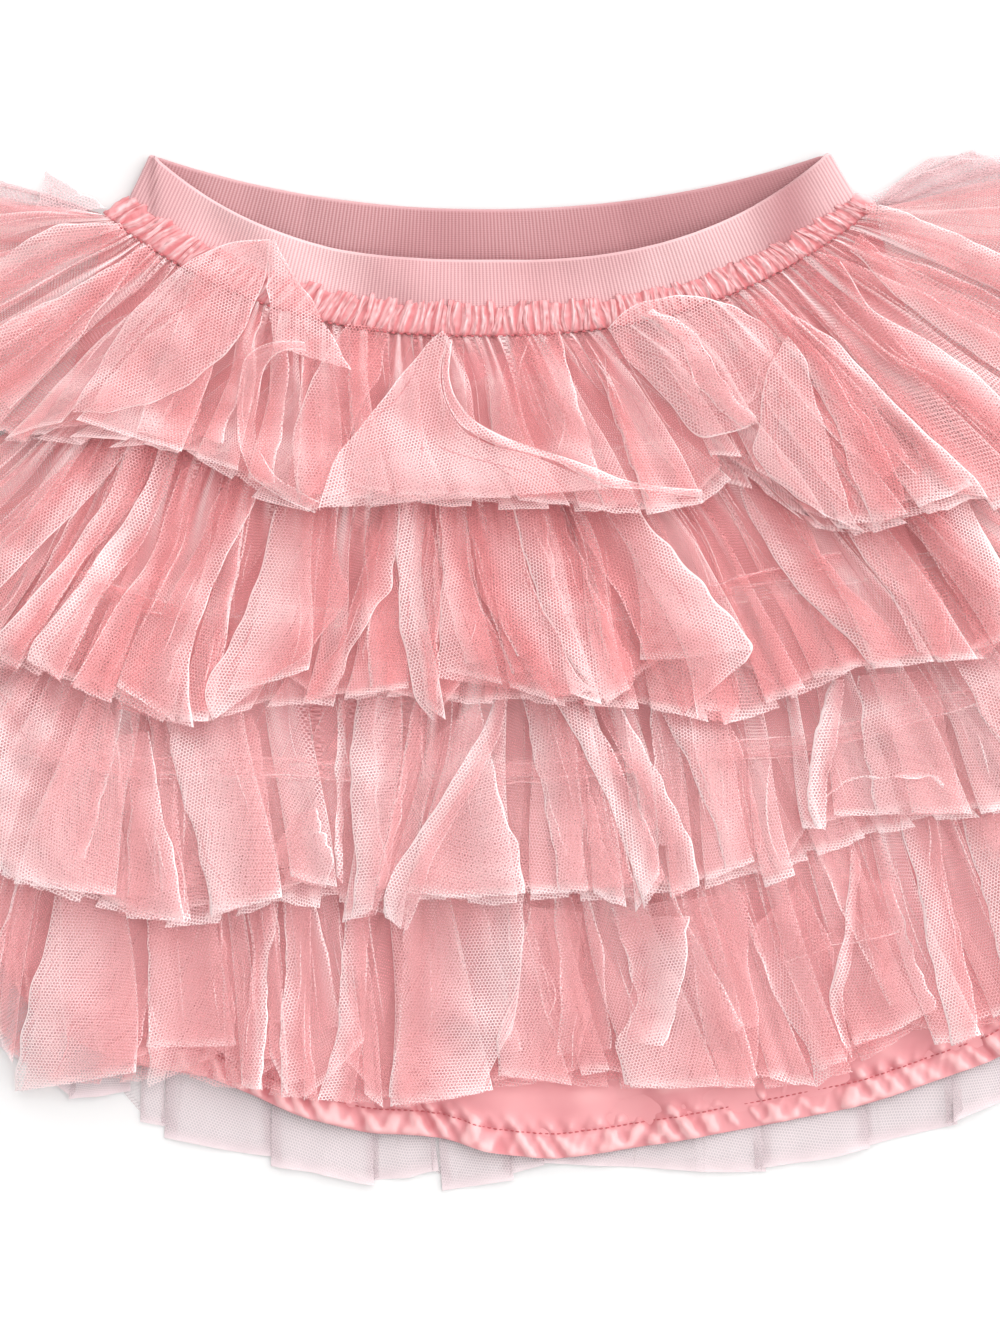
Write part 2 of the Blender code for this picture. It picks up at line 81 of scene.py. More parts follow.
TIER_1 = [
    Panel(108, -116, 196, -112, 246, 0, 12, 14, 4.0),
    Panel(116, -110, 262, -100, 306, 3, 12, 16, 5.0),
    Panel(126, -98, 318, -84, 356, 4, 14, 18, 5.0),
    Panel(140, -78, 368, -54, 402, 4, 14, 20, 6.0),
    Panel(158, -46, 410, -8, 436, 6, 18, 20, 5.0),
    Panel(184, 2, 438, 66, 426, 8, 22, 20, 6.0),
    Panel(220, 80, 424, 178, 449, 4, 26, 26, 7.0),
    Panel(258, 190, 452, 232, 470, 0, 16, 16, 5.0),
    Panel(292, 244, 480, 300, 514, -4, 20, 22, 6.0),
    Panel(322, 306, 515, 345, 491, 0, 16, 14, 5.0),
    Panel(360, 354, 485, 392, 488, -6, 16, 18, 5.0),
    Panel(402, 400, 492, 452, 494, -8, 22, 22, 5.0),
    Panel(440, 462, 497, 512, 501, 0, 22, 22, 4.0),
    Panel(486, 520, 503, 572, 509, 0, 22, 24, 5.0),
    Panel(534, 580, 510, 640, 513, 6, 24, 26, 5.0),
    Panel(584, 648, 512, 702, 499, 8, 26, 20, 6.0),
    Panel(630, 712, 452, 744, 456, 6, 14, 14, 5.0),
    Panel(668, 756, 470, 826, 520, 8, 24, 24, 6.0),
    Panel(712, 836, 526, 900, 518, 8, 26, 24, 6.0),
    Panel(748, 908, 514, 968, 487, 8, 26, 18, 7.0),
    Panel(782, 990, 512, 1028, 486, 0, 18, 18, 7.0),
    Panel(810, 1036, 470, 1060, 424, 0, 18, 18, 6.0),
    Panel(834, 1064, 408, 1080, 350, 4, 18, 18, 5.0),
    Panel(854, 1084, 334, 1092, 280, 4, 16, 16, 5.0),
    Panel(868, 1094, 262, 1090, 204, 2, 14, 12, 4.0),
]
TIER_2 = [
    Panel(68, -112, 498, -98, 540, 0, 12, 16, 4.0),
    Panel(82, -94, 550, -76, 586, 0, 14, 16, 5.0),
    Panel(98, -68, 596, -42, 624, 4, 14, 18, 5.0),
    Panel(112, -34, 632, -8, 652, 4, 14, 18, 5.0),
    Panel(128, -2, 658, 26, 671, 4, 12, 16, 5.0),
    Panel(150, 34, 652, 68, 682, 6, 16, 20, 7.0),
    Panel(176, 78, 688, 116, 704, 0, 18, 18, 3.0),
    Panel(218, 128, 690, 186, 722, -6, 26, 22, 5.0),
    Panel(250, 190, 722, 217, 720, -6, 12, 14, 6.0),
    Panel(296, 234, 692, 303, 668, 10, 30, 24, 8.0),
    Panel(350, 304, 702, 331, 707, 8, 14, 14, 5.0),
    Panel(384, 338, 698, 404, 692, 6, 22, 24, 4.0),
    Panel(420, 418, 710, 438, 724, -4, 12, 10, 8.0),
    Panel(452, 445, 675, 504, 687, 0, 22, 26, 5.0),
    Panel(484, 512, 689, 566, 698, 0, 22, 22, 4.0),
    Panel(520, 576, 690, 604, 700, 4, 16, 16, 6.0),
    Panel(556, 610, 700, 637, 681, 6, 14, 14, 7.0),
    Panel(610, 646, 656, 753, 651, 12, 34, 30, 8.0),
    Panel(660, 764, 706, 804, 690, 4, 18, 18, 3.0),
    Panel(706, 812, 682, 858, 668, 4, 20, 20, 3.0),
    Panel(758, 870, 668, 930, 659, 6, 26, 22, 8.0),
    Panel(802, 936, 658, 978, 652, 6, 20, 14, 6.0),
    Panel(840, 992, 640, 1024, 618, 4, 16, 16, 6.0),
    Panel(872, 1034, 606, 1062, 578, 4, 16, 16, 5.0),
    Panel(902, 1070, 566, 1092, 534, 4, 14, 14, 5.0),
    Panel(926, 1098, 520, 1110, 488, 0, 12, 10, 4.0),
]
TIER_3 = [
    Panel(36, -126, 700, -112, 742, 0, 12, 16, 4.0),
    Panel(52, -106, 754, -82, 790, 2, 14, 18, 4.0),
    Panel(70, -74, 800, -42, 834, 2, 16, 18, 5.0),
    Panel(90, -32, 842, 4, 872, 4, 18, 20, 5.0),
    Panel(124, 14, 882, 126, 890, 6, 36, 26, 6.0),
    Panel(156, 136, 916, 196, 922, 0, 24, 22, 3.0),
    Panel(208, 212, 916, 280, 894, 6, 26, 24, 6.0),
    Panel(262, 288, 872, 336, 882, 0, 20, 18, 6.0),
    Panel(384, 345, 918, 380, 908, 8, 14, 14, 7.0),
    Panel(430, 390, 912, 408, 931, 10, 10, 10, 5.0),
    Panel(492, 416, 897, 522, 893, -6, 36, 34, 6.0),
    Panel(536, 532, 893, 588, 886, 0, 24, 22, 4.0),
    Panel(570, 596, 888, 632, 903, 0, 16, 16, 5.0),
    Panel(600, 640, 909, 663, 872, 6, 14, 12, 6.0),
    Panel(640, 672, 896, 700, 884, 4, 14, 14, 4.0),
    Panel(676, 708, 878, 760, 858, 0, 20, 20, 4.0),
    Panel(724, 768, 886, 798, 874, 0, 14, 14, 4.0),
    Panel(772, 806, 828, 824, 828, -4, 9, 9, 7.0),
    Panel(810, 834, 815, 896, 815, 0, 26, 22, 4.0),
    Panel(850, 904, 815, 966, 812, 4, 24, 22, 5.0),
    Panel(892, 974, 812, 1026, 798, 4, 20, 20, 5.0),
    Panel(926, 1034, 790, 1070, 766, 4, 18, 18, 5.0),
    Panel(952, 1078, 756, 1104, 724, 2, 14, 14, 4.0),
    Panel(976, 1108, 710, 1126, 676, 0, 12, 12, 4.0),
]
TIER_4 = [
    Panel(0, -118, 850, -100, 892, 0, 14, 16, 4.0),
    Panel(20, -94, 904, -66, 940, 0, 14, 18, 4.0),
    Panel(42, -56, 954, -22, 1000, 0, 16, 20, 4.0),
    Panel(66, -12, 1030, 4, 1064, 0, 10, 12, 3.0),
    Panel(106, 12, 1094, 135, 1072, 8, 40, 34, 6.0),
    Panel(166, 142, 1046, 236, 1042, 4, 34, 28, 4.0),
    Panel(214, 238, 1084, 262, 1088, 6, 12, 12, 5.0),
    Panel(246, 268, 1052, 286, 1094, 4, 12, 12, 4.0),
    Panel(290, 306, 1100, 366, 1042, 4, 24, 24, 4.0),
    Panel(330, 370, 1092, 392, 1106, 0, 12, 12, 3.0),
    Panel(408, 399, 1106, 487, 1090, 0, 34, 30, 7.0),
    Panel(470, 497, 1074, 567, 1086, 6, 26, 24, 4.0),
    Panel(524, 574, 1076, 606, 1070, 0, 16, 16, 3.0),
    Panel(576, 627, 1085, 720, 1087, -6, 32, 30, 6.0),
    Panel(640, 724, 1088, 757, 1085, -4, 16, 16, 5.0),
    Panel(690, 766, 1080, 814, 1088, 0, 20, 20, 4.0),
    Panel(742, 818, 1072, 848, 1060, 6, 14, 12, 5.0),
    Panel(794, 858, 1046, 924, 1016, 4, 26, 24, 4.0),
    Panel(850, 936, 1044, 977, 1036, 0, 18, 16, 7.0),
    Panel(900, 986, 1022, 1034, 996, 0, 18, 18, 4.0),
    Panel(944, 1042, 984, 1080, 950, 0, 18, 18, 4.0),
    Panel(982, 1088, 938, 1114, 896, 0, 14, 14, 4.0),
    Panel(1012, 1118, 880, 1130, 838, 0, 12, 12, 3.0),
]
TIER_4_BACK = [
    Panel(-2, -124, 880, -66, 1010, 0, 10, 10, 0.8),
    Panel(60, -70, 1004, 76, 1102, 0, 14, 10, 0.9),
    Panel(120, 72, 1104, 140, 1092, 0, 10, 10, 0.8),
    Panel(168, 144, 1124, 166, 1128, 0, 5, 5, 0.6),
    Panel(220, 163, 1140, 270, 1158, 0, 12, 12, 0.8),
    Panel(330, 266, 1166, 373, 1188, 0, 12, 10, 1.0),
    Panel(386, 369, 1184, 438, 1176, 0, 10, 8, 0.8),
    Panel(460, 440, 1195, 517, 1186, 0, 12, 10, 1.0),
    Panel(560, 513, 1180, 545, 1170, 0, 8, 8, 0.6),
    Panel(640, 541, 1168, 769, 1173, 0, 12, 12, 0.9),
    Panel(800, 764, 1170, 872, 1151, 0, 12, 12, 0.7),
    Panel(880, 867, 1150, 958, 1128, 0, 12, 12, 0.9),
    Panel(950, 953, 1126, 1046, 1082, 0, 14, 14, 0.8),
    Panel(1000, 1041, 1080, 1112, 1000, 0, 12, 12, 0.8),
    Panel(1026, 1108, 994, 1132, 930, 0, 10, 10, 0.8),
]
TIER_1_BACK = [
    Panel(104, -112, 150, -92, 142, 0, 8, 8, 1.8),
    Panel(100, -80, 170, -40, 196, 0, 14, 14, 1.8),
    Panel(320, 300, 350, 340, 350, 0, 10, 10, 0.8),
    Panel(500, 470, 352, 520, 352, 0, 10, 10, 0.8),
    Panel(690, 660, 350, 710, 348, 0, 10, 10, 0.8),
    Panel(860, 934, 160, 962, 158, 0, 10, 10, 2.4),
    Panel(868, 976, 150, 1010, 168, 0, 12, 12, 2.0),
    Panel(876, 1030, 152, 1066, 176, 0, 12, 10, 1.8),
]
# A tier's hem where it shows between and beyond the broad folds of its upper ply.
TIER_1_UNDER = [(-112, 200), (-104, 290), (-80, 372), (-30, 424), (40, 436), (100, 440), (183, 452), (230, 474),
                (262, 498), (316, 512), (352, 496), (400, 500), (470, 506), (560, 512), (640, 514), (700, 506),
                (736, 470), (790, 506), (856, 534), (915, 520), (972, 494), (1030, 492), (1066, 430), (1086, 340),
                (1094, 262), (1088, 200)]
TIER_2_UNDER = [(-112, 500), (-92, 566), (-56, 618), (0, 656), (60, 682), (97, 692), (120, 708), (160, 722),
                (195, 726), (260, 708), (306, 704), (354, 699), (413, 690), (470, 700), (547, 700), (600, 706),
                (650, 712), (690, 716), (732, 722), (767, 710), (800, 692), (851, 671), (905, 668), (978, 656),
                (1030, 624), (1070, 576), (1096, 530), (1110, 488)]
TIER_3_UNDER = [(-126, 704), (-100, 770), (-50, 834), (0, 876), (60, 898), (123, 912), (165, 926), (216, 919),
                (280, 900), (330, 906), (400, 904), (460, 902), (530, 898), (600, 902), (650, 896), (700, 890),
                (750, 872), (806, 858), (850, 836), (900, 824), (966, 820), (1026, 804), (1074, 770), (1106, 722),
                (1126, 676)]
TIER_4_UNDER = [(-118, 852), (-92, 916), (-50, 970), (-4, 1050), (60, 1088), (130, 1086), (200, 1076), (262, 1092),
                (320, 1104), (390, 1108), (450, 1100), (520, 1086), (580, 1088), (650, 1092), (720, 1094),
                (790, 1090), (850, 1070), (915, 1030), (977, 1040), (1034, 1004), (1080, 956), (1114, 900),
                (1130, 838)]
TIER_2_BACK = [(-114, 480), (-90, 560), (-40, 620), (60, 640), (300, 680), (500, 690), (700, 680), (900, 640),
               (1000, 620), (1060, 580), (1090, 530), (1112, 470)]
TIER_3_BACK = [(-126, 690), (-100, 780), (-50, 840), (60, 860), (300, 890), (500, 900), (700, 890), (900, 850),
               (1000, 830), (1070, 770), (1106, 720), (1128, 660)]

# The seams that the tiers hang from, left to right, in millimetres.
SEAM_2 = [(-153.3, 95.9), (-136.5, 85.8), (-106.8, 78.0), (-64.8, 72.1), (-14.7, 68.9), (40.2, 71.8), (91.0, 79.8),
          (134.8, 91.7), (155.8, 102.9)]
SEAM_3 = [(-166.6, 35.0), (-141.0, 25.5), (-100.8, 18.9), (-53.5, 15.0), (-2.8, 13.6), (51.4, 18.2), (109.2, 27.3),
          (156.4, 37.1), (171.5, 43.0)]
SEAM_4 = [(-179.2, -22.8), (-147.0, -34.3), (-103.2, -38.5), (-54.2, -39.2), (0.0, -37.1), (54.2, -32.9),
          (112.0, -25.2), (169.8, -11.2), (186.2, -3.5)]
LINING_HEM = [(-44, 880), (-24, 924), (0, 966), (29, 1014), (88, 1052), (147, 1070), (205, 1078), (249, 1096),
              (300, 1119), (367, 1136), (412, 1137), (448, 1141), (487, 1155), (554, 1162), (608, 1155), (700, 1140),
              (781, 1125), (861, 1109), (901, 1096), (1000, 1061), (1060, 1020), (1096, 970), (1110, 908)]

# Loops and flaps that the top tier has fallen into: two curves from end to end,
# how far the cloth swells between them and how high it lies on what is under it.
Flap = namedtuple("Flap", "one other swell lift veil")
TIER_1_FLAPS = [
    Flap(  # the big leaf at the left
        [(75, 413), (96, 375), (116, 340), (137, 308), (158, 287), (179, 270), (200, 255), (223, 244), (248, 239), (271, 240)],
        [(75, 413), (110, 415), (153, 404), (191, 385), (223, 359), (242, 334), (253, 312), (262, 288), (268, 262), (271, 240)],
        7.0, 1.4, 1.0,
    ),
    Flap(  # the sheer point beside it
        [(267, 241), (268, 280), (270, 316), (274, 346)],
        [(274, 242), (290, 268), (306, 293), (330, 333), (351, 371)],
        2.0, 1.2, 1.0,
    ),
    Flap(  # its rolled hem, which runs down and round
        [(306, 344), (284, 341), (264, 345), (246, 356), (239, 378), (238, 410), (240, 443), (250, 475), (276, 497), (317, 516)],
        [(306, 352), (290, 350), (274, 356), (263, 370), (259, 392), (257, 418), (259, 443), (268, 468), (290, 488), (322, 503)],
        1.4, 1.2, 0.85,
    ),
    Flap(  # the broad panel in the middle
        [(443, 331), (427, 344), (404, 372), (385, 398), (362, 427), (344, 449), (330, 478), (321, 510)],
        [(447, 334), (440, 360), (441, 386), (447, 411), (463, 434), (497, 448), (560, 467), (606, 492)],
        4.0, 1.8, 1.1,
    ),
    Flap(  # its turned hem
        [(447, 338), (441, 372), (445, 400), (458, 424), (497, 446), (560, 466), (606, 491), (660, 494), (701, 498)],
        [(452, 340), (449, 374), (455, 398), (472, 420), (510, 440), (572, 462), (616, 482), (662, 488), (700, 492)],
        1.2, 1.2, 1.0,
    ),
    Flap(  # the lobe at the right
        [(608, 327), (622, 313), (645, 300), (668, 295), (692, 295), (723, 302), (748, 314), (765, 327), (779, 345)],
        [(608, 327), (624, 356), (655, 388), (681, 419), (701, 440), (736, 435), (760, 420), (763, 386), (779, 345)],
        7.0, 1.6, 1.05,
    ),
    Flap(
        [(640, 318), (662, 330), (680, 345), (688, 366), (700, 392), (716, 412), (742, 428)],
        [(652, 310), (678, 320), (698, 336), (708, 358), (722, 384), (738, 404), (756, 418)],
        1.4, 1.2, 0.9,
    ),
    Flap(  # and the one beyond it
        [(786, 337), (798, 350), (806, 371), (811, 400), (821, 433), (831, 465), (841, 505), (853, 529)],
        [(779, 346), (768, 366), (762, 392), (760, 420), (748, 452), (768, 478), (800, 506), (850, 529)],
        4.0, 1.6, 1.1,
    ),
]

# Broad folds that lie on each tier, traced between their two edges from the seam to the hem.
def fold(one, other, swell=3.2, lift=0.5, veil=1.25):
    return Flap(one, other, swell, lift, veil)


def seam_band(line, deep=18):
    """A gathering seam that shows through the net: the strip above it and its two edges."""
    up = [(x, y - deep) for x, y in line]
    lower = lambda p, d: [(x, y + d) for x, y in p]
    return [fold(line, up, 0.6, 0.25, 0.45), fold(line, lower(line, 2.2), 0.4, 0.25, 0.55),
            fold(up, lower(up, 1.8), 0.3, 0.25, 0.4)]


TIPS = [  # the back's first tier, past the ends of the gathered header
    fold([(43, 167), (72, 185), (106, 205)], [(43, 167), (37, 192), (31, 218)], 2.4, 0.6, 1.5),
    fold([(96, 208), (30, 206), (-30, 196), (-80, 188)], [(96, 236), (20, 240), (-40, 246), (-80, 252)], 2.0, 0.5, 0.9),
    fold([(876, 192), (900, 178), (950, 160), (1010, 150)], [(880, 212), (910, 204), (960, 196), (1020, 190)], 2.0, 0.5, 0.9),
]
FOLDS_4 = seam_band([(780, 962), (797, 958), (842, 943), (877, 938), (900, 930)]) + [
    fold([(59, 885), (44, 953), (29, 997), (12, 1093)], [(167, 915), (155, 973), (147, 1008), (135, 1070)], 4.0),
    fold([(150, 915), (148, 980), (150, 1030), (147, 1088)], [(220, 915), (235, 1000), (236, 1044)], 3.0, veil=0.95),
    fold([(262, 900), (255, 960), (245, 1030), (240, 1088)], [(282, 897), (267, 962), (268, 1032), (261, 1088)], 2.6),
    fold([(283, 900), (286, 973), (280, 1040), (284, 1096)], [(312, 900), (311, 980), (311, 1061), (318, 1098)], 2.6, veil=1.1),
    fold([(345, 900), (342, 960), (338, 1034), (319, 1098)], [(372, 905), (368, 970), (364, 1034), (350, 1104)], 2.6),
    fold([(418, 890), (399, 954), (396, 1034), (396, 1071), (400, 1106)], [(525, 886), (524, 940), (517, 1007), (514, 1026), (488, 1074), (485, 1090)], 4.5, veil=1.35),
    fold([(530, 906), (512, 1000), (498, 1040), (498, 1074)], [(581, 910), (576, 967), (592, 1007), (581, 1050), (569, 1085)], 3.0, veil=0.95),
    fold([(612, 907), (635, 991), (638, 1007), (613, 1039), (625, 1083)], [(746, 890), (747, 965), (758, 1008), (759, 1037), (754, 1088)], 4.5, veil=1.15),
    fold([(612, 915), (632, 970), (630, 1010), (625, 1040)], [(687, 915), (684, 973), (672, 1020), (663, 1045)], 2.0),
    fold([(749, 930), (770, 985), (786, 1016), (808, 1048), (816, 1088)], [(800, 880), (835, 950), (834, 1010), (845, 1037), (846, 1061)], 3.0, veil=0.95),
    fold([(850, 850), (846, 909), (838, 962), (828, 984), (830, 1010), (840, 1040)], [(860, 850), (856, 909), (850, 962), (842, 990), (846, 1025), (852, 1058)], 2.2, veil=1.5),
    fold([(855, 880), (870, 960), (862, 1010), (848, 1051)], [(890, 880), (915, 960), (930, 990), (936, 1008)], 3.0, veil=0.9),
    fold([(896, 800), (905, 840), (917, 887), (931, 968), (947, 1021), (952, 1045)], [(934, 800), (939, 834), (947, 887), (958, 927), (968, 973), (976, 1008), (974, 1034)], 4.5, veil=1.35),
    fold([(960, 820), (985, 900), (1000, 960), (1005, 1015)], [(1020, 810), (1045, 880), (1060, 930), (1068, 960)], 3.5),
]
FOLDS_3 = seam_band([(-10, 742), (26, 750), (59, 759), (126, 775), (176, 774), (270, 775), (360, 780)]) + seam_band(
    [(462, 791), (500, 781), (560, 777), (650, 768)]) + seam_band(
    [(685, 764), (740, 757), (809, 752), (855, 739), (931, 716), (990, 700)]) + [
    fold([(-60, 640), (-30, 740), (-6, 820), (8, 874)], [(96, 640), (108, 690), (117, 733), (122, 747), (125, 797), (128, 856), (126, 897)], 4.5, veil=1.15),
    fold([(120, 735), (122, 800), (128, 860), (122, 912)], [(150, 730), (160, 790), (176, 850), (188, 923)], 2.6, veil=0.95),
    fold([(165, 710), (170, 740), (176, 762), (192, 822), (207, 870), (213, 916)], [(238, 668), (245, 690), (260, 737), (272, 810), (278, 858), (281, 890)], 4.2, veil=1.2),
    fold([(520, 690), (535, 760), (548, 820), (560, 888)], [(560, 680), (580, 750), (600, 830), (618, 886)], 3.0, veil=0.9),
    fold([(430, 740), (425, 800), (420, 850), (418, 893)], [(480, 700), (500, 800), (514, 834), (522, 870), (524, 892)], 3.4, veil=1.0),
    fold([(361, 686), (352, 737), (352, 810), (359, 870), (352, 918)], [(401, 686), (403, 749), (407, 773), (398, 834), (384, 890), (376, 914)], 3.6, veil=1.3),
    fold([(337, 700), (337, 780), (336, 837), (337, 875)], [(346, 700), (345, 780), (343, 837), (345, 880)], 2.0, veil=1.5),
    fold([(293, 815), (287, 829), (279, 841), (279, 861), (289, 876)], [(318, 806), (322, 826), (330, 839), (337, 860), (328, 886)], 1.6, veil=1.0),
    fold([(500, 676), (480, 735), (455, 775), (430, 815), (400, 860), (382, 895), (386, 915)], [(512, 680), (500, 735), (480, 775), (452, 825), (430, 865), (418, 907), (408, 931)], 3.4, veil=1.4),
    fold([(650, 690), (690, 770), (715, 830), (724, 870)], [(715, 690), (745, 760), (757, 820), (760, 850)], 3.0, veil=0.95),
    fold([(585, 690), (625, 760), (660, 830), (671, 898)], [(610, 690), (650, 760), (690, 840), (698, 883)], 3.0, veil=1.15),
    fold([(548, 690), (585, 755), (620, 830), (643, 907)], [(575, 684), (610, 745), (645, 820), (663, 872)], 3.4, veil=1.4),
    fold([(857, 675), (862, 744), (869, 797), (875, 814)], [(931, 670), (945, 740), (958, 790), (960, 812)], 3.4, veil=1.0),
    fold([(824, 794), (841, 778), (868, 774), (896, 775), (924, 770), (940, 783)], [(824, 797), (841, 781), (868, 777), (896, 778), (924, 774), (940, 787)], 0.8, veil=1.5),
    fold([(831, 680), (821, 710), (809, 749), (805, 801), (812, 826)], [(845, 680), (838, 720), (833, 755), (824, 785), (824, 828)], 3.6, veil=1.7),
    fold([(947, 650), (975, 710), (1010, 760), (1030, 796)], [(1000, 630), (1040, 690), (1075, 730), (1090, 745)], 3.6, veil=1.1),
]
FOLDS_2 = seam_band([(700, 600), (720, 597), (752, 586), (786, 579), (840, 566)], 14) + seam_band(
    [(80, 584), (108, 596), (142, 610), (190, 622)], 14) + [
    fold([(104, 428), (60, 470), (0, 522), (-60, 566)], [(136, 440), (90, 500), (44, 545), (0, 593), (-40, 630)], 3.2, veil=1.2),
    fold([(132, 440), (105, 505), (60, 570), (0, 642), (-20, 660)], [(156, 452), (140, 500), (92, 557), (55, 618), (23, 672)], 3.2, veil=1.35),
    fold([(158, 446), (148, 490), (108, 545), (68, 610), (39, 640), (34, 660)], [(176, 456), (170, 488), (138, 550), (106, 596), (92, 628), (65, 681)], 3.6, veil=1.5),
    fold([(243, 460), (220, 490), (191, 564), (161, 621), (129, 674), (119, 708)], [(262, 486), (236, 540), (205, 610), (190, 660), (197, 727)], 3.2, veil=1.1),
    fold([(180, 470), (160, 540), (120, 610), (95, 650), (75, 684)], [(205, 460), (190, 540), (160, 600), (128, 660), (112, 702)], 2.4, veil=0.85),
    fold([(275, 505), (259, 580), (250, 598), (232, 649), (215, 669), (207, 694), (215, 720)], [(336, 500), (337, 547), (340, 573), (354, 591), (330, 625), (317, 642), (301, 659), (283, 672)], 5.0, veil=1.35),
    fold([(390, 484), (379, 527), (365, 566), (356, 592), (342, 636), (327, 661), (304, 703)], [(402, 490), (398, 547), (392, 590), (375, 613), (350, 655), (335, 696)], 3.2, veil=1.15),
    fold([(440, 500), (443, 580), (440, 640), (430, 677)], [(471, 490), (466, 525), (469, 566), (480, 610), (500, 640), (520, 690)], 3.0, veil=1.2),
    fold([(398, 500), (397, 566), (400, 613), (407, 657), (419, 709), (430, 719)], [(425, 500), (439, 556), (440, 620), (439, 680), (438, 724)], 4.2, veil=1.5),
    fold([(471, 490), (468, 560), (480, 600), (511, 636), (528, 671), (547, 700)], [(512, 500), (533, 587), (555, 632), (572, 667), (590, 690)], 3.2, veil=1.1),
    fold([(510, 500), (533, 587), (572, 667), (588, 690), (600, 698)], [(556, 500), (595, 593), (618, 637), (636, 676), (630, 690)], 4.4, veil=1.2),
    fold([(600, 500), (640, 570), (677, 639), (690, 680), (696, 717)], [(650, 500), (690, 590), (716, 637), (743, 700), (730, 722)], 3.0, veil=1.0),
    fold([(560, 500), (598, 560), (629, 620), (641, 651), (659, 678), (682, 715)], [(629, 500), (664, 541), (698, 580), (728, 614), (753, 649), (745, 662)], 5.0, veil=1.3),
    fold([(830, 500), (860, 556), (890, 600), (915, 652)], [(890, 500), (922, 572), (947, 622), (947, 659)], 3.4, veil=1.1),
    fold([(736, 470), (752, 526), (775, 563), (802, 595), (832, 627), (869, 667), (887, 661)], [(790, 480), (821, 560), (850, 590), (867, 609), (890, 632), (910, 652)], 4.2, veil=1.2),
    fold([(900, 505), (930, 560), (960, 610), (975, 657)], [(960, 490), (985, 540), (1010, 580), (1030, 622)], 4.0, veil=1.3),
]
FOLDS_1 = [
    fold([(118, 222), (60, 222), (0, 258), (-60, 296)], [(130, 240), (66, 262), (0, 300), (-50, 334)], 3.4, veil=1.2),
    fold([(150, 244), (80, 286), (0, 328), (-60, 352)], [(158, 262), (90, 312), (0, 386), (-30, 408)], 3.4, veil=1.2),
    fold([(860, 232), (901, 268), (947, 295), (1000, 318), (1060, 340)], [(850, 251), (900, 300), (950, 340), (1000, 371), (1056, 400)], 3.6, veil=1.2),
    fold([(866, 200), (913, 215), (960, 235), (1010, 260), (1080, 290)], [(868, 222), (920, 255), (990, 287), (1060, 315)], 3.4, veil=1.1),
    fold([(840, 262), (867, 309), (901, 327), (935, 348), (970, 371), (1000, 400), (1030, 440)], [(830, 268), (860, 330), (900, 370), (945, 410), (990, 450), (1016, 486)], 3.6, veil=1.0),
    fold([(760, 300), (809, 340), (850, 385), (900, 440), (930, 480), (950, 494)], [(782, 309), (830, 338), (851, 361), (890, 403), (935, 449), (970, 481), (985, 500)], 3.6, veil=1.25),
    fold([(740, 300), (800, 364), (830, 420), (850, 480), (870, 529)], [(770, 300), (830, 370), (870, 430), (895, 480), (905, 516)], 3.4, veil=1.0),
    fold([(350, 318), (310, 380), (292, 440), (300, 500)], [(392, 320), (378, 380), (350, 430), (340, 490)], 3.2, veil=0.95),
    fold([(520, 330), (500, 380), (500, 440), (520, 500)], [(560, 330), (575, 390), (590, 440), (600, 490)], 3.2, veil=0.9),
    fold([(200, 256), (176, 330), (150, 390), (140, 432)], [(236, 270), (220, 340), (205, 400), (190, 446)], 3.2, veil=0.9),
]


# ------------------------------------------------------------------ functions
def at(points):
    """Points of the drawing, in millimetres in the frame."""
    p = np.asarray(points, float)
    return np.column_stack([(p[:, 0] - 500) * UNIT, (670 - p[:, 1]) * UNIT]) + SHIFT


def smooth(t):
    t = np.clip(t, 0.0, 1.0)
    return t * t * (3 - 2 * t)


def gaussian(values, sigma):
    """Each column of values, blurred along the first axis. The ends stay where they are."""
    if sigma <= 0:
        return values
    reach = int(math.ceil(3 * sigma))
    k = np.exp(-0.5 * (np.arange(-reach, reach + 1) / sigma) ** 2)
    k /= k.sum()
    v = values if values.ndim == 2 else values[:, None]
    pad = np.concatenate([2 * v[:1] - v[1 : reach + 1][::-1], v, 2 * v[-1:] - v[-reach - 1 : -1][::-1]])
    out = np.column_stack([np.convolve(pad[:, c], k, "valid") for c in range(v.shape[1])])
    return out if values.ndim == 2 else out[:, 0]


def along(points, step):
    """A line through points, resampled at about the given step. Returns points and their distances."""
    p = np.asarray(points, float)
    d = np.concatenate([[0], np.cumsum(np.linalg.norm(np.diff(p, axis=0), axis=1))])
    n = max(8, int(d[-1] / step))
    s = np.linspace(0, d[-1], n)
    return np.column_stack([np.interp(s, d, p[:, c]) for c in range(p.shape[1])]), s


def curve(points, n, soft=4.0):
    """n points spread evenly along a softened line."""
    fine, s = along(points, 0.5)
    fine = gaussian(fine, soft)
    d = np.concatenate([[0], np.cumsum(np.linalg.norm(np.diff(fine, axis=0), axis=1))])
    t = np.linspace(0, d[-1], n)
    return np.column_stack([np.interp(t, d, fine[:, c]) for c in range(fine.shape[1])])


class Noise:
    """Smooth seeded noise of one or two places, about -1 to 1."""

    def __init__(self, seed, shortest, longest, count=9):
        r = np.random.default_rng(seed)
        length = np.exp(r.uniform(math.log(shortest), math.log(longest), count))
        angle = r.uniform(0, 2 * math.pi, count)
        self.kx = np.cos(angle) * 2 * math.pi / length
        self.ky = np.sin(angle) * 2 * math.pi / length
        self.phase = r.uniform(0, 2 * math.pi, count)
        self.size = (length / longest) ** 0.5
        self.size *= 1.3 / math.sqrt((self.size**2).sum())

    def __call__(self, a, b=0.0):
        out = 0.0
        for kx, ky, p, s in zip(self.kx, self.ky, self.phase, self.size):
            out = out + s * np.sin(a * kx + b * ky + p)
        return out


